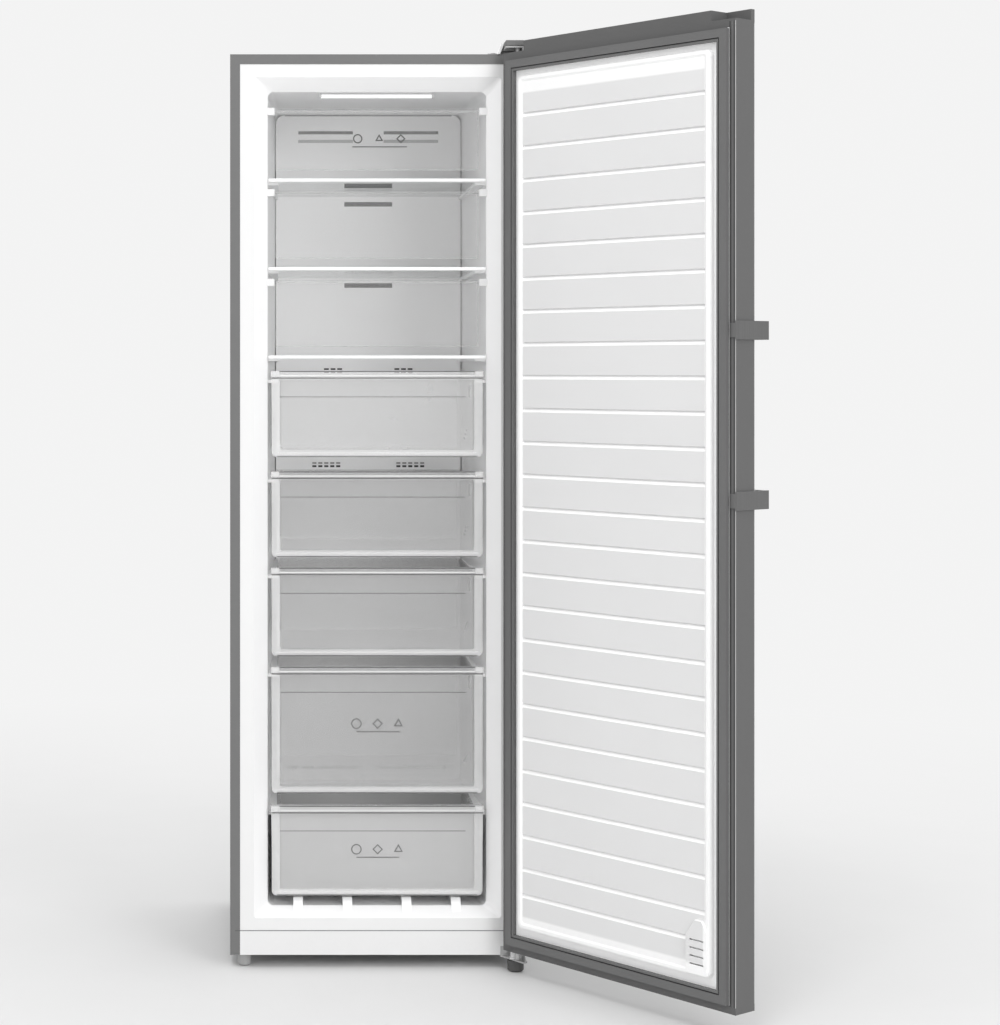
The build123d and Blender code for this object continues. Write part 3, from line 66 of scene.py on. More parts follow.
camera_data = bpy.data.cameras.new("camera")
camera_data.sensor_width = sensor
camera_data.lens = focal_pixels / picture_height * sensor
camera_data.shift_x = (picture_width / 2 - eye_in_picture[0]) / picture_height
camera_data.shift_y = (eye_in_picture[1] - picture_height / 2) / picture_height
camera = bpy.data.objects.new("camera", camera_data)
camera.location = eye
camera.rotation_euler = (quarter_turn, 0, 0)
bpy.context.scene.collection.objects.link(camera)
bpy.context.scene.camera = camera
print("lens %.1f mm, shift %.3f, %.3f" % (camera_data.lens, camera_data.shift_x, camera_data.shift_y))

# %% [markdown]
# ## Shader arithmetic
# A finish is a small sum of noises and masks. Written as Python expressions such as
# `1 - mask * 0.2` it stays readable, so one small class wraps a node's output and adds the Math nodes
# behind the scenes. Every other kind of node comes from its `node` method.

# %% The class that wraps a socket
class Wire:
    """One output of a shader node. Arithmetic on it adds Math nodes to the same material."""

    def __init__(self, tree, socket):
        self.tree = tree
        self.socket = socket

    def node(self, kind, settings=None, inputs=None, output=0):
        """Add a node: its settings first, then its sockets' values or links."""
        made = self.tree.nodes.new(kind)
        for name, value in (settings or {}).items():
            setattr(made, name, value)
        for name, value in (inputs or {}).items():
            if isinstance(value, Wire):
                self.tree.links.new(value.socket, made.inputs[name])
            else:
                made.inputs[name].default_value = value
        return Wire(self.tree, made.outputs[output])

    def maths(self, operation, first, second):
        return self.node("ShaderNodeMath", {"operation": operation}, {0: first, 1: second})

    def __add__(self, other):
        return self.maths("ADD", self, other)

    def __radd__(self, other):
        return self.maths("ADD", other, self)

    def __sub__(self, other):
        return self.maths("SUBTRACT", self, other)

    def __rsub__(self, other):
        return self.maths("SUBTRACT", other, self)

    def __mul__(self, other):
        return self.maths("MULTIPLY", self, other)

    def __rmul__(self, other):
        return self.maths("MULTIPLY", other, self)


print("shader arithmetic ready")

# %% [markdown]
# ## Patterns
# Real surfaces are never one flat colour. A few patterns serve every finish here: noise for cloudy
# change, Voronoi cells for crystals and bubbles, and a stretched copy of either for a grain. Colours
# are written as greys from 0 to 255, as they look on screen, and turned into the renderer's own scale.

# %% Patterns that the finishes share
def stretched(place, scale):
    """Object coordinates scaled by different amounts along X, Y and Z."""
    return place.node("ShaderNodeMapping", inputs={"Vector": place, "Scale": scale})


def noise(place, scale, detail=2.0):
    return place.node("ShaderNodeTexNoise", inputs={"Vector": place, "Scale": scale, "Detail": detail},
                      output="Fac")


def cells(place, scale):
    return place.node("ShaderNodeTexVoronoi", inputs={"Vector": place, "Scale": scale}, output="Color")


def as_colour(value):
    """Three numbers as a socket's colour; a wire stays as it is."""
    return value if isinstance(value, Wire) else (*value, 1)


def blended(mask, first, second):
    """A colour between two others, chosen by a mask."""
    return mask.node("ShaderNodeMix", {"data_type": "RGBA"},
                     {"Factor": mask, 6: as_colour(first), 7: as_colour(second)}, output=2)


def bump(height, distance):
    return height.node("ShaderNodeBump", inputs={"Height": height, "Distance": distance, "Strength": 1.0},
                       output="Normal")


def coordinate(vector, axis):
    """One coordinate of a place or a direction: X, Y or Z."""
    return vector.node("ShaderNodeSeparateXYZ", inputs={0: vector}, output=axis)


def kept_within(value):
    """A value cut off below nothing and above one."""
    return value.node("ShaderNodeClamp", inputs={"Value": value})


def grey(level):
    """A neutral colour from its brightness on screen, 0 to 255, as the renderer wants it."""
    share = level / 255
    linear = share / 12.92 if share <= 0.04045 else ((share + 0.055) / 1.055) ** 2.4
    return (linear, linear, linear)


def tinted(level, red=1.0, green=1.0, blue=1.0):
    base = grey(level)[0]
    return (base * red, base * green, base * blue)


print("patterns ready; mid grey is", round(grey(128)[0], 3))

# %% [markdown]
# ## One function makes every finish
# Each finish is a paint function that gets the object's coordinates and returns what varies over the
# surface. What stays the same, such as being metal, goes straight on the shader's sockets.

# %% The finish maker
def finish(name, paint, fixed=None):
    """Make a material; paint gets the object coordinates and returns the sockets that vary."""
    material = bpy.data.materials.new(name)
    material.use_nodes = True
    tree = material.node_tree
    shader = tree.nodes["Principled BSDF"]
    for socket, value in (fixed or {}).items():
        shader.inputs[socket].default_value = value
    place = Wire(tree, tree.nodes.new("ShaderNodeTexCoord").outputs["Object"])
    for socket, wire in paint(place).items():
        tree.links.new(wire.socket, shader.inputs[socket])
    return material


print("finish maker ready")

# %% [markdown]
# ## Painted steel
# The cabinet and the door are sheet steel with a baked grey coat; the door's copy of it is painted darker,
# as painted shade. Up close such a coat has a fine orange-peel ripple about a millimetre across and a
# hardly visible unevenness in gloss. Four noises do it: the two finer ones make the ripple, and the two
# broader ones, with a little grain, change colour and gloss. The plinth has a white coat, and the hinge
# brackets' bright plating passes for a pale, glossy one.

# %% Painted steel
def painted(level, roughness=0.34, ripple=0.00003):
    def paint(place):
        broad = noise(place, 3.0)
        fine = noise(place, 900.0, 1.0)
        grain = noise(place, 160.0)
        dust = noise(place, 24.0, 6.0)
        colour = blended(broad * 0.6 + grain * 0.4, tinted(level - 4), tinted(level + 3))
        return {"Base Color": colour,
                "Roughness": roughness + broad * 0.06 + dust * 0.05,
                "Normal": bump(fine + grain * 0.6, ripple)}
    return paint


grey_coat = finish("grey_coat", painted(110))
# the door's coat is the cabinet's grey, painted darker as painted shade
shaded_door_coat = finish("shaded_door_coat", painted(90))
bright_zinc = finish("bright_zinc", painted(176, 0.25))
white_coat = finish("white_coat", painted(228, 0.3))
print("painted steel:", grey_coat.name, white_coat.name)

# %% [markdown]
# ## Moulded white plastic
# The liners are thin plastic sheet drawn into a mould by vacuum, so broad faces have a slow waviness
# that bends reflections, under a soft semi-gloss. Injection-moulded trims are flatter and glossier.
# The liner's front flange is the same plastic, painted a little greyer than its inside as painted shade, so
# its finish asks which way a face looks.

# %% Moulded white plastic
def drawn_sheet(level, roughness=0.3, wave=0.00012):
    def paint(place):
        slow = noise(place, 5.0, 1.0)
        fine = noise(place, 420.0, 2.0)
        flow = noise(stretched(place, (1.0, 1.0, 3.0)), 2.0, 2.0)
        colour = blended(slow * 0.5 + flow * 0.5, tinted(level - 4, blue=1.004), tinted(level + 2))
        return {"Base Color": colour,
                "Roughness": roughness + flow * 0.08 + fine * 0.03,
                "Normal": bump(slow + fine * 0.004, wave)}
    return paint


facing_gain = 10


def front_painted_shade(paint, level):
    """A finish with painted shade: another grey on the faces that look straight to the front."""
    def front_shade_paint(place):
        sockets = paint(place)
        normal = place.node("ShaderNodeNewGeometry", output="Normal")
        forward = coordinate(normal, "Y") * -facing_gain - (facing_gain - 1)
        # painted shade: faces that look straight to the front turn greyer
        sockets["Base Color"] = blended(kept_within(forward), sockets["Base Color"], grey(level))
        return sockets
    return front_shade_paint


liner_white = finish("liner_white", front_painted_shade(drawn_sheet(248), 230))
door_white = finish("door_white", drawn_sheet(236))
lamp_case = finish("lamp_case", drawn_sheet(196, 0.2, 0.00006))
trim_white = finish("trim_white", drawn_sheet(252, 0.2, 0.00006))
cover_white = finish("cover_white", drawn_sheet(240, 0.4, 0.00008))
print("white plastics:", liner_white.name, trim_white.name, cover_white.name)

# %% [markdown]
# ## Clear plastic and glass
# The drawers are thick clear plastic that looks milky, because light scatters in it and it is scuffed.
# Letting part of the light straight through, with a glossy surface, gives that without slow
# refraction. The flaps are clearer, and so is the shelf glass. The drawers have three such finishes, lit
# and shaded copies of one plastic: a paler one for the top drawer, painted light because it stands in
# more light, a darker one of painted shade for the next three, and a pale one, also painted light, for
# the lowest that holds back more light, so that the space behind it stays dim.

# %% Clear plastic and glass
def clear(level, roughness, seen, passing, tint=(1.0, 1.0, 1.0)):
    """Clear plastic: how much of it the camera sees, and how much of it stands in the light's way."""
    def paint(place):
        camera_ray = place.node("ShaderNodeLightPath", output="Is Camera Ray")
        cloud = noise(place, 7.0, 3.0)
        scuff = noise(stretched(place, (40.0, 40.0, 9.0)), 3.0, 5.0)
        colour = blended(cloud, tinted(level - 5, *tint), tinted(level + 3, *tint))
        return {"Base Color": colour,
                "Alpha": camera_ray * (seen - passing) + passing,
                "Roughness": roughness + scuff * 0.10,
                "Normal": bump(cloud + scuff * 0.02, 0.00012)}
    return paint


# painted light and shade: one plastic in three greys, by how much light reaches each drawer
milky_light = finish("milky_light", clear(234, 0.12, 0.3, 0.06))
milky_shaded_plastic = finish("milky_shaded_plastic", clear(208, 0.12, 0.3, 0.06))
milky_shade = finish("milky_shade", clear(250, 0.12, 0.4, 0.85))
flap_plastic = finish("flap_plastic", clear(240, 0.06, 0.08, 0.02))
shelf_pane = finish("shelf_pane", clear(232, 0.04, 0.2, 0.05, (0.94, 1.0, 0.98)))
print("clear finishes:", milky_shaded_plastic.name, flap_plastic.name, shelf_pane.name)

# %% [markdown]
# ## Dark and grey plastics, rubber
# Caps, feet and rollers have a fine spark-eroded grain. The door's seal is a soft grey rubber with a
# dull, slightly mottled skin.

# %% Grained plastic and rubber
def grained(level, roughness=0.5, depth=0.00006, scale=700.0):
    def paint(place):
        grain = noise(place, scale, 3.0)
        broad = noise(place, 9.0)
        colour = blended(broad * 0.7 + grain * 0.3, tinted(max(level - 5, 2)), tinted(level + 5))
        return {"Base Color": colour,
                "Roughness": roughness + grain * 0.12,
                "Normal": bump(grain, depth)}
    return paint


cap_grey = finish("cap_grey", grained(90, 0.42))
seal_grey = finish("seal_grey", grained(103, 0.55, 0.0001, 300.0))
# one grey plastic for both feet; the right foot's copy is painted darker, as painted shade
foot_grey = finish("foot_grey", grained(166, 0.5))
foot_shaded = finish("foot_shaded", grained(80, 0.5))
tray_dark = finish("tray_dark", grained(62, 0.5))
black_plastic = finish("black_plastic", grained(28, 0.45))
soft_black = finish("soft_black", grained(24, 0.8, 0.0002, 220.0))
print("grained finishes ready")

# %% [markdown]
# ## Bare metals
# Zinc-plated sheet shows a faint patchwork of crystals, the handle is brushed along its length, the
# compressor has thick black enamel, and the pipes are copper that has dulled in places. A brushed look
# is a noise stretched 150 times along one axis.

# %% Bare metals
def spangled(level, roughness=0.38):
    def paint(place):
        crystal = cells(place, 90.0)
        flake = crystal.node("ShaderNodeSeparateColor", inputs={"Color": crystal})
        stain = noise(place, 14.0, 5.0)
        colour = blended(flake * 0.6 + stain * 0.4, tinted(level - 22), tinted(level + 12))
        return {"Base Color": colour,
                "Roughness": roughness + flake * 0.12 + stain * 0.08,
                "Normal": bump(stain, 0.00008)}
    return paint


def brushed(level, along=(900.0, 900.0, 6.0)):
    def paint(place):
        lines = noise(stretched(place, along), 1.0, 3.0)
        broad = noise(place, 12.0)
        colour = blended(lines * 0.7 + broad * 0.3, tinted(level - 14), tinted(level + 12))
        return {"Base Color": colour,
                "Roughness": 0.28 + lines * 0.14,
                "Normal": bump(lines, 0.00004)}
    return paint


def tarnished(place):
    patch = noise(place, 30.0, 6.0)
    fine = noise(place, 260.0)
    colour = blended(patch, (0.62, 0.29, 0.17), (0.32, 0.14, 0.08))
    return {"Base Color": colour, "Roughness": 0.25 + patch * 0.3, "Normal": bump(fine, 0.00005)}


metal = {"Metallic": 1.0}
zinc_sheet = finish("zinc_sheet", spangled(196), metal)
satin_metal = finish("satin_metal", brushed(128), metal)
fin_aluminium = finish("fin_aluminium", brushed(206, (6.0, 900.0, 900.0)), metal)
dull_copper = finish("dull_copper", tarnished, metal)
black_enamel = finish("black_enamel", painted(30, 0.22, 0.0002))
magnet_black = finish("magnet_black", grained(40, 0.6))
print("metals ready")

# %% [markdown]
# ## Foam, lamp and circuit board
# The foam is hidden between shell and liner but the model keeps it, so it gets its cell pattern too.
# The lamp's lens glows a little, as frosted plastic in front of small lights does.

# %% Foam, lamp and circuit board
def foamed(place):
    bubble = cells(place, 500.0)
    shade = bubble.node("ShaderNodeSeparateColor", inputs={"Color": bubble})
    broad = noise(place, 10.0, 4.0)
    colour = blended(shade * 0.5 + broad * 0.5, (0.72, 0.60, 0.36), (0.86, 0.76, 0.52))
    return {"Base Color": colour, "Roughness": 0.75 + shade * 0.2, "Normal": bump(shade, 0.0003)}


def frosted(place):
    haze = noise(place, 380.0, 3.0)
    broad = noise(place, 16.0)
    colour = blended(broad, tinted(238), tinted(247))
    return {"Base Color": colour, "Roughness": 0.4 + haze * 0.2, "Normal": bump(haze, 0.00005)}


cell_foam = finish("cell_foam", foamed)
lamp_frost = finish("lamp_frost", frosted, {"Emission Color": (1, 1, 1, 1), "Emission Strength": 1.2})
board_white = finish("board_white", grained(232, 0.5))
print("foam, lamp and board ready")

# %% [markdown]
# ## The door's moulded panel
# The panel's grooved field is a little darker than the smooth edge round it, and each groove's lower
# slope is painted near white, a painted highlight for the light from above. The finish works out where
# a point lies on the shut door, and which way the surface looks there.

# %% The door's moulded panel
door_hinge = [joint for joint in frame["joints"] if joint["name"] == "door_hinge"][0]
hinge_line = Vector(door_hinge["pos_m"])
standing_angle = math.radians(-door_hinge["range_deg"][0])
field_side, field_top, field_foot = 0.062, 0.080, 0.066
# the last grey, 255, is a painted highlight for the grooves' upward slopes
field_grey, edge_white, slope_highlight = 226, 250, 255
slope_gain, slope_start = 3, 0.3
soft_edge = 0.004


def shut(place):
    """Where a point of the open door lies once the door is shut."""
    turn = Matrix.Rotation(-standing_angle, 3, "Z")
    return place.node("ShaderNodeMapping", inputs={
        "Vector": place, "Location": hinge_line - turn @ hinge_line, "Rotation": (0, 0, -standing_angle)})


def inside(value, low, high):
    """One between two limits and nothing outside them, with a soft change."""
    steepness = 1 / soft_edge
    return kept_within((value - low) * steepness) * kept_within((high - value) * steepness)


def moulded_panel(place):
    sockets = drawn_sheet(field_grey)(place)
    closed = shut(place)
    across, up = coordinate(closed, "X"), coordinate(closed, "Z")
    skin_low, skin_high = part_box("door_skin")
    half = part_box("outer_shell")[1][0] - field_side
    field = inside(across, -half, half) * inside(up, skin_low[2] + field_foot, skin_high[2] - field_top)
    normal = place.node("ShaderNodeNewGeometry", output="Normal")
    # painted highlight: faces that look upwards turn near white
    upward = kept_within(coordinate(normal, "Z") * slope_gain - slope_start)
    flat = blended(field, grey(edge_white), sockets["Base Color"])
    sockets["Base Color"] = blended(upward, flat, grey(slope_highlight))
    return sockets


door_panel = finish("door_panel", moulded_panel)
print("door panel: field", field_grey, "edge", edge_white)

# %% [markdown]
# ## Which piece gets which finish
# One list per finish keeps the choice in view, and a check catches a piece that was forgotten.

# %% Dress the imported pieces
dressing = {
    grey_coat: ["outer_shell", "back_panel"],
    shaded_door_coat: ["door_skin"],
    bright_zinc: ["bottom_hinge_bracket", "top_hinge_bracket"],
    white_coat: ["plinth_beam"],
    liner_white: ["inner_liner"],
    door_white: ["vent_flap"],
    door_panel: ["door_liner"],
    trim_white: ["shelf_trims"],
    lamp_case: ["lamp_housing"],
    cover_white: ["air_cover", "fan_shroud"],
    milky_light: ["drawer_1"],
    milky_shaded_plastic: ["drawer_2", "drawer_3", "drawer_4"],
    milky_shade: ["drawer_5"],
    flap_plastic: ["flap_1", "flap_2", "flap_3"],
    shelf_pane: ["shelf_glasses"],
    lamp_frost: ["lamp_lens"],
    board_white: ["lamp_board"],
    cap_grey: ["door_top_cap", "door_bottom_cap", "hinge_bushes"],
    seal_grey: ["door_gasket"],
    foot_grey: ["left_foot"],
    foot_shaded: ["right_foot"],
    tray_dark: ["drain_pan", "drain_tube", "control_box"],
    black_plastic: ["fan_rotor", "left_roller", "right_roller", "door_sensor"],
    soft_black: ["compressor_mounts"],
    black_enamel: ["compressor", "fan_motor"],
    magnet_black: ["gasket_magnets"],
    zinc_sheet: ["base_panel", "compressor_rail", "roller_forks", "roller_axles", "hinge_pins",
                 "hinge_screws", "handle_screws", "compressor_bolts"],
    satin_metal: ["handle_bar", "handle_brackets"],
    fin_aluminium: ["evaporator_coil", "coil_supports", "side_condenser", "defrost_heater"],
    dull_copper: ["refrigerant_pipes", "filter_dryer", "mains_pins"],
    cell_foam: ["cabinet_foam", "door_foam"],
}
dressed = set()
for material, names in dressing.items():
    for name in names:
        node = nodes[name]
        node.data.materials.clear()
        node.data.materials.append(material)
        dressed.add(name)
print("dressed", len(dressed), "of", len(nodes), "missing:", sorted(set(nodes) - dressed))

# %% [markdown]
# ## Tools for small moulded pieces
# Every extra piece below starts as a primitive at its size and place, is shaped in edit mode, and is
# joined with its neighbours into one named piece that rides on a body. Sizes are in millimetres, as
# in the solid model, and `placed` turns them into metres.

# %% Tools for bars and faces
edge_steps, corner_steps = 2, 6


def placed(*values):
    return Vector(values) * millimetre


def alone():
    """Deselect everything, because the next operator acts on all that is selected."""
    bpy.ops.object.select_all(action="DESELECT")


def bar(low, high, edge=0.8):
    """A bar between two corners, with its edges rounded."""
    low, high = placed(*low), placed(*high)
    alone()
    bpy.ops.mesh.primitive_cube_add(size=1, location=(low + high) / 2, scale=high - low)
    bpy.ops.object.transform_apply(location=True, rotation=True, scale=True)
    bpy.ops.object.mode_set(mode="EDIT")
    bpy.ops.mesh.select_all(action="SELECT")
    bpy.ops.mesh.bevel(offset=edge * millimetre, segments=edge_steps, affect="EDGES")
    bpy.ops.object.mode_set(mode="OBJECT")
    return bpy.context.object


def choose(piece, wanted):
    """Leave edit mode with only the vertices selected for which wanted(position) is true."""
    bpy.ops.object.mode_set(mode="EDIT")
    bpy.ops.mesh.select_mode(type="VERT")
    bpy.ops.mesh.select_all(action="DESELECT")
    bpy.ops.object.mode_set(mode="OBJECT")
    for vertex in piece.data.vertices:
        vertex.select = wanted(vertex.co)
    bpy.ops.object.mode_set(mode="EDIT")


def upright_face(left, right, low, high, y, corner):
    """A flat face that looks towards -Y, with its two lower corners rounded."""
    alone()
    bpy.ops.mesh.primitive_plane_add(size=1, location=placed((left + right) / 2, y, (low + high) / 2),
                                     rotation=(quarter_turn, 0, 0))
    face = bpy.context.object
    face.scale = (*placed(right - left, high - low), 1)
    bpy.ops.object.transform_apply(location=True, rotation=True, scale=True)
    middle_z = (low + high) / 2 * millimetre
    choose(face, lambda place: place.z < middle_z)
    bpy.ops.mesh.bevel(offset=corner * millimetre, segments=corner_steps, affect="VERTICES")
    bpy.ops.object.mode_set(mode="OBJECT")
    return face


print("tools for bars and faces ready")

# %% Tools that join, thicken and bridge
def joined(parts):
    """Join pieces into the first one."""
    alone()
    for part in parts:
        part.select_set(True)
    bpy.context.view_layer.objects.active = parts[0]
    bpy.ops.object.join()
    return bpy.context.object


def thickened(piece, thickness):
    """Give a flat piece its thickness, half to each side, and point its normals outwards."""
    modifier = piece.modifiers.new("thickness", "SOLIDIFY")
    modifier.thickness = thickness * millimetre
    modifier.offset = 0
    bpy.context.view_layer.objects.active = piece
    bpy.ops.object.modifier_apply(modifier=modifier.name)
    bpy.ops.object.mode_set(mode="EDIT")
    bpy.ops.mesh.select_all(action="SELECT")
    bpy.ops.mesh.normals_make_consistent(inside=False)
    bpy.ops.object.mode_set(mode="OBJECT")
    return piece


def band(outer, inner, y, corner, thickness):
    """A raised band between two upright outlines, each given as left, right, low and high."""
    ring = joined([upright_face(*outer, y, corner), upright_face(*inner, y, corner / 2)])
    bpy.ops.object.mode_set(mode="EDIT")
    bpy.ops.mesh.select_all(action="SELECT")
    bpy.ops.mesh.delete(type="ONLY_FACE")
    bpy.ops.mesh.select_all(action="SELECT")
    bpy.ops.mesh.bridge_edge_loops()
    bpy.ops.object.mode_set(mode="OBJECT")
    return thickened(ring, thickness)


print("tools that join, thicken and bridge ready")

# %% Tools for outlines and beads
mark_depth, bead_sides = 0.4, 12


def outline_mark(sides, radius, x, y, z, line):
    """A regular outline, such as a triangle or a circle, moulded on a face that looks towards -Y."""
    alone()
    bpy.ops.mesh.primitive_circle_add(vertices=sides, radius=radius * millimetre, fill_type="NGON",
                                      location=placed(x, y, z), rotation=(quarter_turn, 0, 0))
    mark = bpy.context.object
    bpy.ops.object.transform_apply(location=True, rotation=True, scale=True)
    bpy.ops.object.mode_set(mode="EDIT")
    bpy.ops.mesh.select_all(action="SELECT")
    bpy.ops.mesh.inset(thickness=line * millimetre)
    bpy.ops.mesh.delete(type="FACE")
    bpy.ops.object.mode_set(mode="OBJECT")
    return thickened(mark, mark_depth)


def upright_bead(x, y, low, high, radius):
    """A thin round bead that stands between two heights."""
    alone()
    bpy.ops.mesh.primitive_cylinder_add(vertices=bead_sides, radius=radius * millimetre,
                                        depth=(high - low) * millimetre,
                                        location=placed(x, y, (low + high) / 2))
    bpy.ops.object.transform_apply(location=True, rotation=True, scale=True)
    return bpy.context.object


def add_piece(name, parts, material, body):
    """Join the parts under one name, dress them, and let them ride on a body."""
    piece = joined(parts)
    piece.name = name
    piece.data.materials.clear()
    piece.data.materials.append(material)
    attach(piece, body)
    return piece


print("tools for outlines and beads ready")

# %% [markdown]
# ## Where the solid model has its pieces
# The new pieces sit on packed ones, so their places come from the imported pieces' boxes. The cabinet's
# front, top and right side and the back of the air cover are used often, so they get names here.

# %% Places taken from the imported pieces
def box_in_millimetres(name):
    low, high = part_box(name)
    return [value / millimetre for value in low], [value / millimetre for value in high]


front_plane = box_in_millimetres("outer_shell")[0][1]
cabinet_top = box_in_millimetres("outer_shell")[1][2]
cabinet_right = box_in_millimetres("outer_shell")[1][0]
cover_back = box_in_millimetres("air_cover")[1][1]
print("front plane at", front_plane, "top at", cabinet_top)

# %% [markdown]
# ## Drawer fronts
# Each front has a rim with a ridge along it and a clip at each end, a band round its edge where the
# plastic is doubled, and a lip along its foot. Thick corners of clear plastic swallow light, so dark
# lines of painted shade stand under the rim and along the foot. All of these are thin bars on a face that
# looks to the front, so one function makes a strip from its four edges, how far it stands out and how far
# it goes in.

# %% Drawer finishes and sizes
rim_plastic = finish("rim_plastic", clear(244, 0.14, 0.5, 0.1))
edge_plastic = finish("edge_plastic", clear(246, 0.12, 0.3, 0.05))
# painted shade for the dark lines on the drawer fronts
rim_shade = finish("rim_shade", clear(84, 0.3, 0.8, 0.1))
clip_plastic = finish("clip_plastic", clear(236, 0.2, 0.4, 0.1))
mark_grey = finish("mark_grey", grained(112, 0.5))
# a near-black finish for the painted shade in the drawers' side slots
slot_shade_black = finish("slot_shade_black", grained(24, 0.5))

rim_depth, rim_height, clip_width = 8.0, 15.0, 17.0
side_band, foot_band = 18.0, 14.0
fine_edge, crisp_edge = 0.3, 0.2


def strip(left, right, low, high, face, out, inward, edge=fine_edge):
    """A thin bar on a face that looks towards -Y."""
    return bar((left, face - out, low), (right, face + inward, high), edge)


print("drawer finishes ready; rim", rim_height, "mm high")

# %% Dark lines of painted shade on a front
shade_height, shade_out, shade_in = 2.2, 0.8, 1.0
shade_below_top, shade_below_rim, rim_shade_inset = 0.2, 0.4, 1.0
foot_shade_inset, foot_shade_lift, foot_shade_out, foot_shade_in = 12.0, 0.6, 2.8, 0.5
step_drop, step_end, half_step, step_out, step_in = 52.5, 179.0, 0.6, 0.5, 0.3


def front_shades(left, right, foot, top, face):
    """Painted shade: dark lines at the rim's top and foot and along the front's foot, and at the fine step
    across it.
    """
    rim = face - rim_depth
    rim_foot = top - rim_height - shade_below_rim
    foot_line = foot + foot_shade_lift
    step = top - step_drop
    return [strip(left + clip_width, right - clip_width, top - shade_height, top - shade_below_top,
                  rim, shade_out, shade_in),
            strip(left + rim_shade_inset, right - rim_shade_inset, rim_foot, rim_foot + shade_height,
                  rim, shade_out, shade_in),
            strip(left + foot_shade_inset, right - foot_shade_inset, foot_line, foot_line + shade_height,
                  face, foot_shade_out, foot_shade_in),
            strip(left + side_band, step_end, step - half_step, step + half_step,
                  face, step_out, step_in, crisp_edge)]


print("dark lines:", shade_height, "mm high")

# %% Painted shade in the slots of the right side wall
box_half, wall_thick, floor_lift = 197.0, 2.0, 6.0
slot_reach, slot_thickness = 3.6, 1.5
finger_slot_behind, finger_slot_drop, finger_slot_height = 75.0, 14.0, 26.0
small_slots = ((144.0, 42.0), (170.0, 33.0), (196.0, 24.0))
small_slot_height = 5.0


def slot_shade_bar(behind, low, height, face):
    """A dark bar at one slot, so far behind the front face: painted shade in the slot's gap."""
    wall = box_half - wall_thick
    return bar((wall - slot_reach, face + behind, low),
               (wall, face + behind + slot_thickness, low + height), fine_edge)


def slot_shades(foot, top, face):
    """Painted shade at the finger slot under the rim and at the three small slots above the floor."""
    finger_low = top - rim_height - finger_slot_drop - finger_slot_height
    edges = [slot_shade_bar(finger_slot_behind, finger_low, finger_slot_height, face)]
    for behind, lift in small_slots:
        edges.append(slot_shade_bar(behind, foot + floor_lift + lift, small_slot_height, face))
    return edges


print("slots in each drawer's side:", 1 + len(small_slots))

# %% Ridge, band, lip and clips
ridge_drop, ridge_height, ridge_out, ridge_in, ridge_edge = 11.0, 3.0, 1.4, 1.0, 0.7
band_inset, band_lift, band_corner, band_thick, band_out, band_gap = 1.5, 0.4, 10, 1.2, 0.6, 2
lip_inset, lip_lift, lip_height, lip_out, lip_in, lip_edge = 10, 6, 4, 2.6, 0.5, 0.9
clip_lift, clip_drop, clip_out, clip_in, clip_edge = 3, 1, 1.8, 2, 1.2
tab_inset, tab_lift, tab_drop, tab_out, tab_edge = 4, 5.5, 3.5, 3.0, 0.8


def rim_ridge(left, right, top, rim):
    low = top - ridge_drop
    return strip(left + clip_width, right - clip_width, low, low + ridge_height,
                 rim, ridge_out, ridge_in, ridge_edge)


def front_band(left, right, foot, top, face):
    """The doubled plastic round the front's edge, and the lip along its foot."""
    rim_foot = top - rim_height
    outer = (left + band_inset, right - band_inset, foot + band_lift, rim_foot)
    inner = (left + side_band, right - side_band, foot + foot_band, rim_foot - band_gap)
    lip = strip(left + lip_inset, right - lip_inset, foot + lip_lift, foot + lip_lift + lip_height,
                face, lip_out, lip_in, lip_edge)
    return [band(outer, inner, face - band_out, band_corner, band_thick), lip]


def rim_clips(left, right, top, rim):
    """A clip at each end of the rim, with a smaller tab on it."""
    rim_foot = top - rim_height
    clips = []
    for start in (left, right - clip_width):
        stop = start + clip_width
        clips.append(strip(start, stop, rim_foot + clip_lift, top - clip_drop,
                           rim, clip_out, clip_in, clip_edge))
        clips.append(strip(start + tab_inset, stop - tab_inset, rim_foot + tab_lift, top - tab_drop,
                           rim, tab_out, 0, tab_edge))
    return clips


print("clips", clip_width, "mm wide")

# %% Outlines on the lower two fronts
circle, square, triangle = 40, 4, 3
mark_heights = {4: 141.5, 5: 94.0}
mark_places = ((circle, -42.0), (square, 1.0), (triangle, 43.0))
mark_radius, mark_line, mark_out = 10.5, 2.0, 0.4
underline_left, underline_right, underline_drop, underline_height, underline_out = -42, 45, 17.2, 1.8, 0.6


def front_marks(height, face):
    """Three plain outlines side by side at a height, and a line under them."""
    marks = [outline_mark(sides, mark_radius, x, face - mark_out, height, mark_line)
             for sides, x in mark_places]
    low = height - underline_drop
    marks.append(strip(underline_left, underline_right, low, low + underline_height,
                       face, underline_out, 0, crisp_edge))
    return marks


print("outlines on drawers", sorted(mark_heights))

# %% Put the drawer fronts together
for number in range(1, 6):
    drawer = f"drawer_{number}"
    low, high = box_in_millimetres(drawer)
    left, right, foot, top = low[0], high[0], low[2], high[2]
    rim, front = low[1], low[1] + rim_depth
    add_piece(f"rim_ridges_{number}", [rim_ridge(left, right, top, rim)], rim_plastic, drawer)
    add_piece(f"front_shades_{number}", front_shades(left, right, foot, top, front), rim_shade, drawer)
    add_piece(f"slot_shades_{number}", slot_shades(foot, top, front), slot_shade_black, drawer)
    add_piece(f"front_band_{number}", front_band(left, right, foot, top, front), edge_plastic, drawer)
    add_piece(f"rim_clips_{number}", rim_clips(left, right, top, rim), clip_plastic, drawer)
    if number in mark_heights:
        add_piece(f"front_marks_{number}", front_marks(foot + mark_heights[number], front),
                  mark_grey, drawer)
print("drawer fronts finished")

# %% [markdown]
# ## Flaps
# A flap's edges look whiter than its middle, because light runs along the sheet and leaves there, so a
# thin band of painted light frames each one. The top flap also carries three plain outlines over a line.

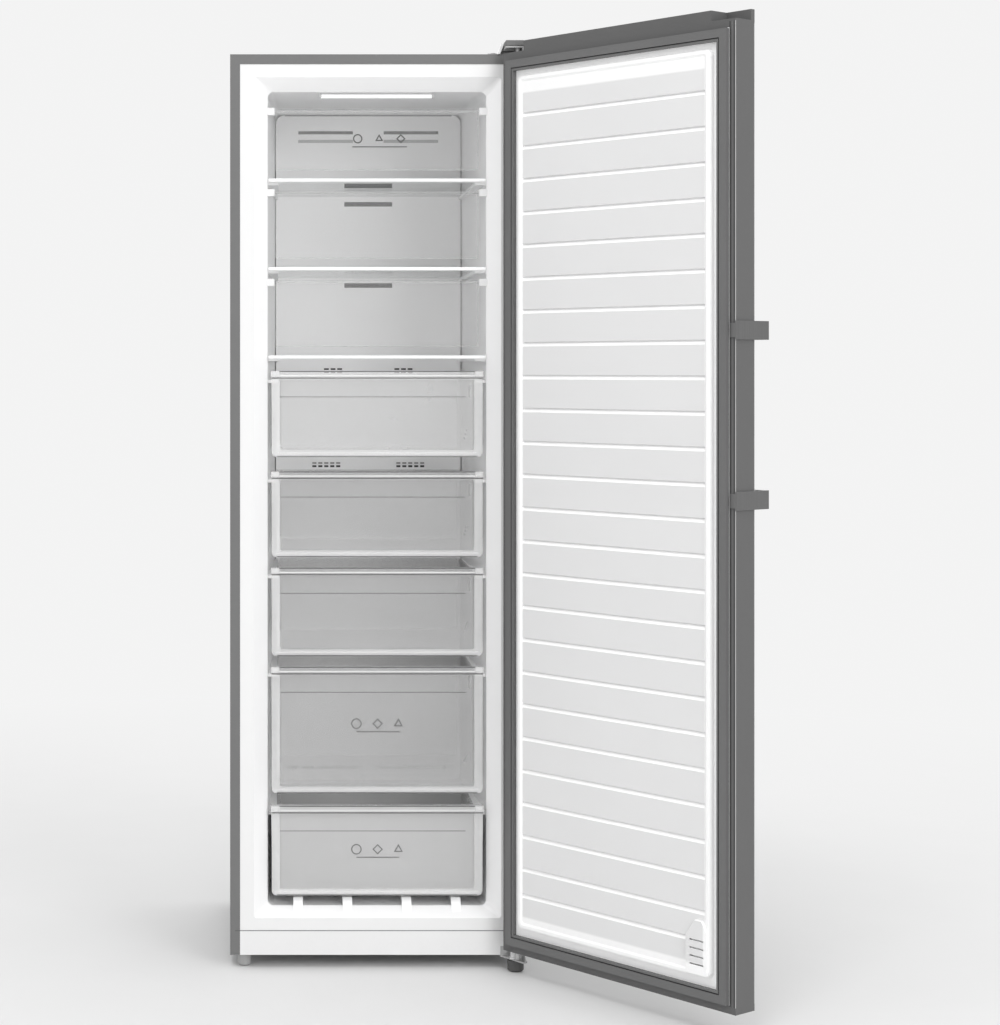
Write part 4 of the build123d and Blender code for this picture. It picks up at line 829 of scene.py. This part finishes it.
# %% Bands of painted light and outlines on the flaps
# a pale band of painted light along each flap's edges
flap_edge_light = finish("flap_edge_light", clear(196, 0.1, 0.34, 0.05))
mark_dark = finish("mark_dark", grained(72, 0.5))
flap_light_band, frame_corner, frame_thick, frame_out = 1.8, 1.0, 0.6, 0.3
pin_length, hinge_strip = 8.0, 5.0
upper_marks = ((circle, -39.0), (triangle, 4.5), (square, 48.5))
upper_radius, upper_line, upper_out, line_out, line_edge = 9.5, 2.4, 0.2, 0.4, 0.1
marks_height, line_height, line_left, line_right, half_line = 1677.5, 1661.0, -50, 61, 1

for number in range(1, 4):
    flap = f"flap_{number}"
    low, high = box_in_millimetres(flap)
    left, right, foot, top = low[0] + pin_length, high[0] - pin_length, low[2], high[2] - hinge_strip
    outer = (left, right, foot, top)
    inner = (left + flap_light_band, right - flap_light_band, foot + flap_light_band, top - flap_light_band)
    add_piece(f"flap_light_band_{number}", [band(outer, inner, low[1] - frame_out, frame_corner, frame_thick)],
              flap_edge_light, flap)

flap_face = box_in_millimetres("flap_1")[0][1]
marks = [outline_mark(sides, upper_radius, x, flap_face - upper_out, marks_height, upper_line)
         for sides, x in upper_marks]
marks.append(strip(line_left, line_right, line_height - half_line, line_height + half_line,
                   flap_face, line_out, 0, line_edge))
add_piece("flap_marks", marks, mark_dark, "flap_1")
print("flap frames and outlines finished")

# %% [markdown]
# ## Air slots, seams and the lamp's window
# Dark louvres behind the air slots keep the evaporator out of sight; their dark grey is painted shade for
# the depth of the slots, and the paler rows are a lighter painted shade. Two fine lines are joints in the
# mouldings: one at the top of the air cover, a dark bar of painted shade in its gap, and one across the
# plinth. The lamp shows as a lit bar along the foot of its housing.

# %% Louvres of painted shade behind the air slots
# dark and paler greys of painted shade for the air slots' depth
louvre_shade = finish("louvre_shade", grained(66, 0.55))
louvre_half_shade = finish("louvre_half_shade", grained(168, 0.55))
dark_rows = ((1733.5, 9, -157, -32), (1733.5, 9, 32, 157), (1617, 12, -55, 55), (1576, 12, -55, 55),
             (1395, 12, -55, 55), (1206.5, 14, -100, 100), (993.6, 10, -126, 126))
pale_rows = ((1714.5, 9, -157, -32), (1714.5, 9, 32, 157), (1003.2, 7, -126, 126))
louvre_gap, louvre_thick = 0.3, 1.2


def louvres(rows):
    """Bars of painted shade behind the air cover, each row given as its height, how tall it is, its left
    and its right.
    """
    near = cover_back + louvre_gap
    return [bar((left, near, height - tall / 2), (right, near + louvre_thick, height + tall / 2), fine_edge)
            for height, tall, left, right in rows]


add_piece("air_slot_shade", louvres(dark_rows), louvre_shade, "cabinet")
add_piece("pale_slot_shade", louvres(pale_rows), louvre_half_shade, "cabinet")
print("louvres:", len(dark_rows) + len(pale_rows))

# %% Painted shade in the cover's gap, plinth seam and lamp window
# a dark finish for the plinth's joint line, and for the painted shade in the gap at the air cover's top
dark_joint_and_shade = finish("dark_joint_and_shade", grained(84, 0.6))
lamp_bar = finish("lamp_bar", frosted, {"Emission Color": (1, 1, 1, 1), "Emission Strength": 0.35})
cover_thick, joint_inset, joint_drop, joint_height, joint_out, joint_in = 2.0, 20, 2.2, 2.0, 0.6, 0.2
# painted shade: a dark bar in the gap at the top of the air cover
cover_high = box_in_millimetres("air_cover")[1]
joint_low = cover_high[2] - joint_drop
joint = strip(joint_inset - cover_high[0], cover_high[0] - joint_inset, joint_low, joint_low + joint_height,
              cover_back - cover_thick, joint_out, joint_in, crisp_edge)
add_piece("cover_gap_shade", [joint], dark_joint_and_shade, "cabinet")

seam_height, seam_inset, half_seam, seam_out, seam_in = 76.8, 10, 0.7, 0.2, 0.3
seam = strip(seam_inset - cabinet_right, cabinet_right - seam_inset, seam_height - half_seam,
             seam_height + half_seam, front_plane, seam_out, seam_in, line_edge)
add_piece("plinth_seam", [seam], dark_joint_and_shade, "cabinet")

glow_inset, glow_lift, glow_height, glow_depth, glow_edge = 4, 1, 4.5, 0.5, 0.4
case_low, case_high = box_in_millimetres("lamp_housing")
glow_low = case_low[2] + glow_lift
glow = strip(case_low[0] + glow_inset, case_high[0] - glow_inset, glow_low, glow_low + glow_height,
             case_low[1], glow_depth, glow_depth, glow_edge)
add_piece("lamp_window", [glow], lamp_bar, "cabinet")
print("joint, seam and lamp window finished")

# %% [markdown]
# ## Hinge cover, strap and stop
# A grey cover hides the upper hinge arm, with a pale strap beside it, and a bright stop stands on the
# lower hinge plate. The cover is three rounded blocks, and the rear one is drawn down in edit mode to a
# slope. The strap's top is moved sideways, so that it leans towards the cover.

# %% Hinge cover, strap and stop
cover_grey = finish("cover_grey", grained(104, 0.45))
stop_white = finish("stop_white", drawn_sheet(246, 0.2, 0.0001))
pivot_x, pivot_y = hinge_line.x / millimetre, hinge_line.y / millimetre
arm_rise, cover_rise, seat_gap = 10.4, 22.0, 0.2
slope_drop, strap_lean = 13, 8.5
head_left, head_right, head_front, head_back, head_edge = 26, 11, 14, 13, 1.6
neck_right, neck_start, neck_reach, neck_edge = 2, 12, 8, 1.2
shoulder_left, shoulder_right, shoulder_start, shoulder_reach, shoulder_edge = 30, 8, 5, 74, 2.0
shoulder_gap, slope_start_y, slope_start_z = 0.3, 40, 11
strap_left, strap_right, strap_front, strap_back, strap_short, strap_edge = 39, 33, 4, 5, 0.5, 0.5
plate_thick, stop_near, stop_behind, stop_side, stop_height, stop_edge = 3.0, 2, 4, 12, 15, 1.0
foot_near, foot_behind, foot_wide, foot_deep, foot_height, foot_edge = 1, 2, 15, 16, 2.5, 0.6


def moved(piece, wanted, x=0.0, z=0.0):
    """Move the chosen vertices of a piece in edit mode."""
    choose(piece, wanted)
    bpy.ops.transform.translate(value=placed(x, 0, z))
    bpy.ops.object.mode_set(mode="OBJECT")
    return piece


arm_top, cover_top = cabinet_top + arm_rise, cabinet_top + cover_rise
cover_left = pivot_x - head_left
head = bar((cover_left, pivot_y - head_front, arm_top),
           (pivot_x + head_right, pivot_y + head_back, cover_top), head_edge)
neck = bar((cover_left, pivot_y + neck_start, arm_top),
           (pivot_x - neck_right, front_plane + neck_reach, cover_top), neck_edge)
shoulder = bar((pivot_x - shoulder_left, front_plane + shoulder_start, cabinet_top + shoulder_gap),
               (pivot_x + shoulder_right, front_plane + shoulder_reach, cover_top), shoulder_edge)
slope_y = (front_plane + slope_start_y) * millimetre
slope_z = (cabinet_top + slope_start_z) * millimetre
moved(shoulder, lambda place: place.z > slope_z and place.y > slope_y, z=-slope_drop)
add_piece("hinge_cover", [head, neck, shoulder], cover_grey, "cabinet")

strap = bar((pivot_x - strap_left, front_plane - strap_front, cabinet_top + seat_gap),
            (pivot_x - strap_right, front_plane + strap_back, cover_top - strap_short), strap_edge)
moved(strap, lambda place: place.z > slope_z, x=strap_lean)
add_piece("hinge_strap", [strap], stop_white, "cabinet")

plate_top = box_in_millimetres("bottom_hinge_bracket")[0][2] + plate_thick
stop_right, stop_front = pivot_x - stop_near, pivot_y + stop_behind
stop = bar((stop_right - stop_side, stop_front, plate_top),
           (stop_right, stop_front + stop_side, plate_top + stop_height), stop_edge)
foot_right, foot_front = pivot_x - foot_near, pivot_y + foot_behind
stop_foot = bar((foot_right - foot_wide, foot_front, plate_top),
                (foot_right, foot_front + foot_deep, plate_top + foot_height), foot_edge)
add_piece("hinge_stop", [stop, stop_foot], stop_white, "cabinet")
print("hinge cover", head_left + head_right, "mm wide; strap and stop finished")

# %% [markdown]
# ## The door's free edge
# Folded sheet steel catches the light along its folds. Two thin pale beads on the folds of the door's
# free edge are a painted highlight, and three fine lines run beside the seal: two dark ones of painted
# shade and one light one of painted light. All are modelled as if the door were shut, where they are
# upright and square to the axes, and are then swung about the hinge to where the imported door stands.

# %% Painted highlights and lines of painted light and shade on the door's edge
# a pale finish for the painted highlights on the folds, and a dark one for the painted shade beside the
# seal
edge_highlight = finish("edge_highlight", painted(168, 0.3))
edge_shade = finish("edge_shade", painted(54, 0.5))
free_side = -cabinet_right
seal_gap, line_foot, line_top_gap = 10.0, 60.0, 8.0
door_inner = front_plane - seal_gap
door_low, door_high = line_foot, cabinet_top - line_top_gap
line_sunk = 0.3


def swung(piece):
    """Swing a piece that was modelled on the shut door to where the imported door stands."""
    alone()
    piece.select_set(True)
    bpy.context.view_layer.objects.active = piece
    piece.matrix_world = (Matrix.Translation(hinge_line) @ Matrix.Rotation(standing_angle, 4, "Z")
                          @ Matrix.Translation(-hinge_line))
    bpy.ops.object.transform_apply(location=True, rotation=True, scale=True)
    return piece


def highlight_bead(inward, behind, radius):
    return swung(upright_bead(free_side + inward, door_inner - behind, door_low, door_high, radius))


def edge_line(inward, width, raised, edge):
    """A fine upright line on the door's inner face, so far in from the free edge: its finish makes the dark
    ones painted shade and the light one painted light.
    """
    left = free_side + inward
    return swung(strip(left, left + width, door_low, door_high, door_inner, line_sunk, raised, edge))


# painted highlights on the folds, then lines of painted shade and of painted light beside the seal
add_piece("door_edge_highlights", [highlight_bead(0.5, 0.5, 0.8), highlight_bead(0.2, 51.5, 0.6)], edge_highlight, "door")
add_piece("door_edge_shades", [edge_line(2.0, 1.6, 0.25, 0.1), edge_line(11.5, 2.6, 0.25, 0.1)],
          edge_shade, "door")
add_piece("door_edge_lights", [edge_line(6.0, 2.2, 0.5, 0.2)], cover_grey, "door")
print("door edge finished,", round(door_high - door_low), "mm high")

# %% [markdown]
# ## Floor and backdrop
# White pieces on a pale floor need even light, or they clip to white. The paleness around the freezer
# is a colour and not more light: far from the freezer the camera sees plain paleness, so floor and
# backdrop meet unseen, while the floor nearby keeps the shadow.

# %% Floor
floor_size, floor_level = 60.0, -0.0005
fade_start, fade_length = 1.3, 2.2
paleness = 0.9
alone()
bpy.ops.mesh.primitive_plane_add(size=floor_size, location=(0, 0, floor_level))
floor = bpy.context.object
floor.name = "floor"


def pale_floor(place):
    speckle = noise(place, 6.0, 3.0)
    return {"Base Color": blended(speckle, tinted(226), tinted(229)), "Roughness": 0.6 + speckle * 0.1}


def fade_far(material):
    """Let the camera see plain paleness in place of the far floor."""
    tree = material.node_tree
    place = Wire(tree, tree.nodes.new("ShaderNodeTexCoord").outputs["Object"])
    distance = place.node("ShaderNodeVectorMath", {"operation": "LENGTH"}, {0: place}, output="Value")
    far = place.node("ShaderNodeMath", {"operation": "SUBTRACT", "use_clamp": True},
                     {0: distance * (1 / fade_length), 1: fade_start / fade_length})
    seen_directly = place.node("ShaderNodeLightPath", output="Is Camera Ray")
    glow = place.node("ShaderNodeEmission", inputs={"Strength": paleness}, output="Emission")
    painted_floor = Wire(tree, tree.nodes["Principled BSDF"].outputs["BSDF"])
    mixed = place.node("ShaderNodeMixShader", inputs={0: far * seen_directly, 1: painted_floor, 2: glow})
    tree.links.new(mixed.socket, tree.nodes["Material Output"].inputs["Surface"])


floor_finish = finish("pale_floor", pale_floor)
fade_far(floor_finish)
floor.data.materials.append(floor_finish)
print("floor", floor_size, "m wide")

# %% [markdown]
# ## World and lamps
# The world gives most of the light, a little more of it from above, so that upward slopes are paler.
# One broad lamp at the right in front and one high up shape the folds, and a weaker one behind lights
# the back for views from there.

# %% World and lamps
level_light, light_from_above = 0.74, 0.3
world = bpy.data.worlds.new("studio")
bpy.context.scene.world = world
world.use_nodes = True
background = world.node_tree.nodes["Background"]
background.inputs["Color"].default_value = (1, 1, 1, 1)
seen = Wire(world.node_tree, world.node_tree.nodes.new("ShaderNodeLightPath").outputs["Is Camera Ray"])
direction = Wire(world.node_tree, world.node_tree.nodes.new("ShaderNodeTexCoord").outputs["Generated"])
lighting = level_light + coordinate(direction, "Z") * light_from_above
strength = lighting + seen * (paleness - lighting)
world.node_tree.links.new(strength.socket, background.inputs["Strength"])


def add_lamp(name, place, target, size, power):
    """A square soft lamp that looks at a point."""
    data = bpy.data.lights.new(name, "AREA")
    data.shape = "SQUARE"
    data.size = size
    data.energy = power
    lamp = bpy.data.objects.new(name, data)
    lamp.location = place
    lamp.rotation_euler = (Vector(target) - Vector(place)).to_track_quat("-Z", "Y").to_euler()
    bpy.context.scene.collection.objects.link(lamp)


middle = (0, 0, 0.95)
add_lamp("front_lamp", (2.5, -4.7, 2.2), middle, size=2.0, power=76)
add_lamp("high_lamp", (-0.6, -3.4, 5.2), middle, size=1.4, power=60)
add_lamp("rear_lamp", (1.0, 4.6, 3.0), middle, size=2.4, power=24)
print("lamps placed")

# %% [markdown]
# ## View settings
# The Standard view shows a colour as it is written.

# %% View settings
bpy.context.scene.view_settings.view_transform = "Standard"
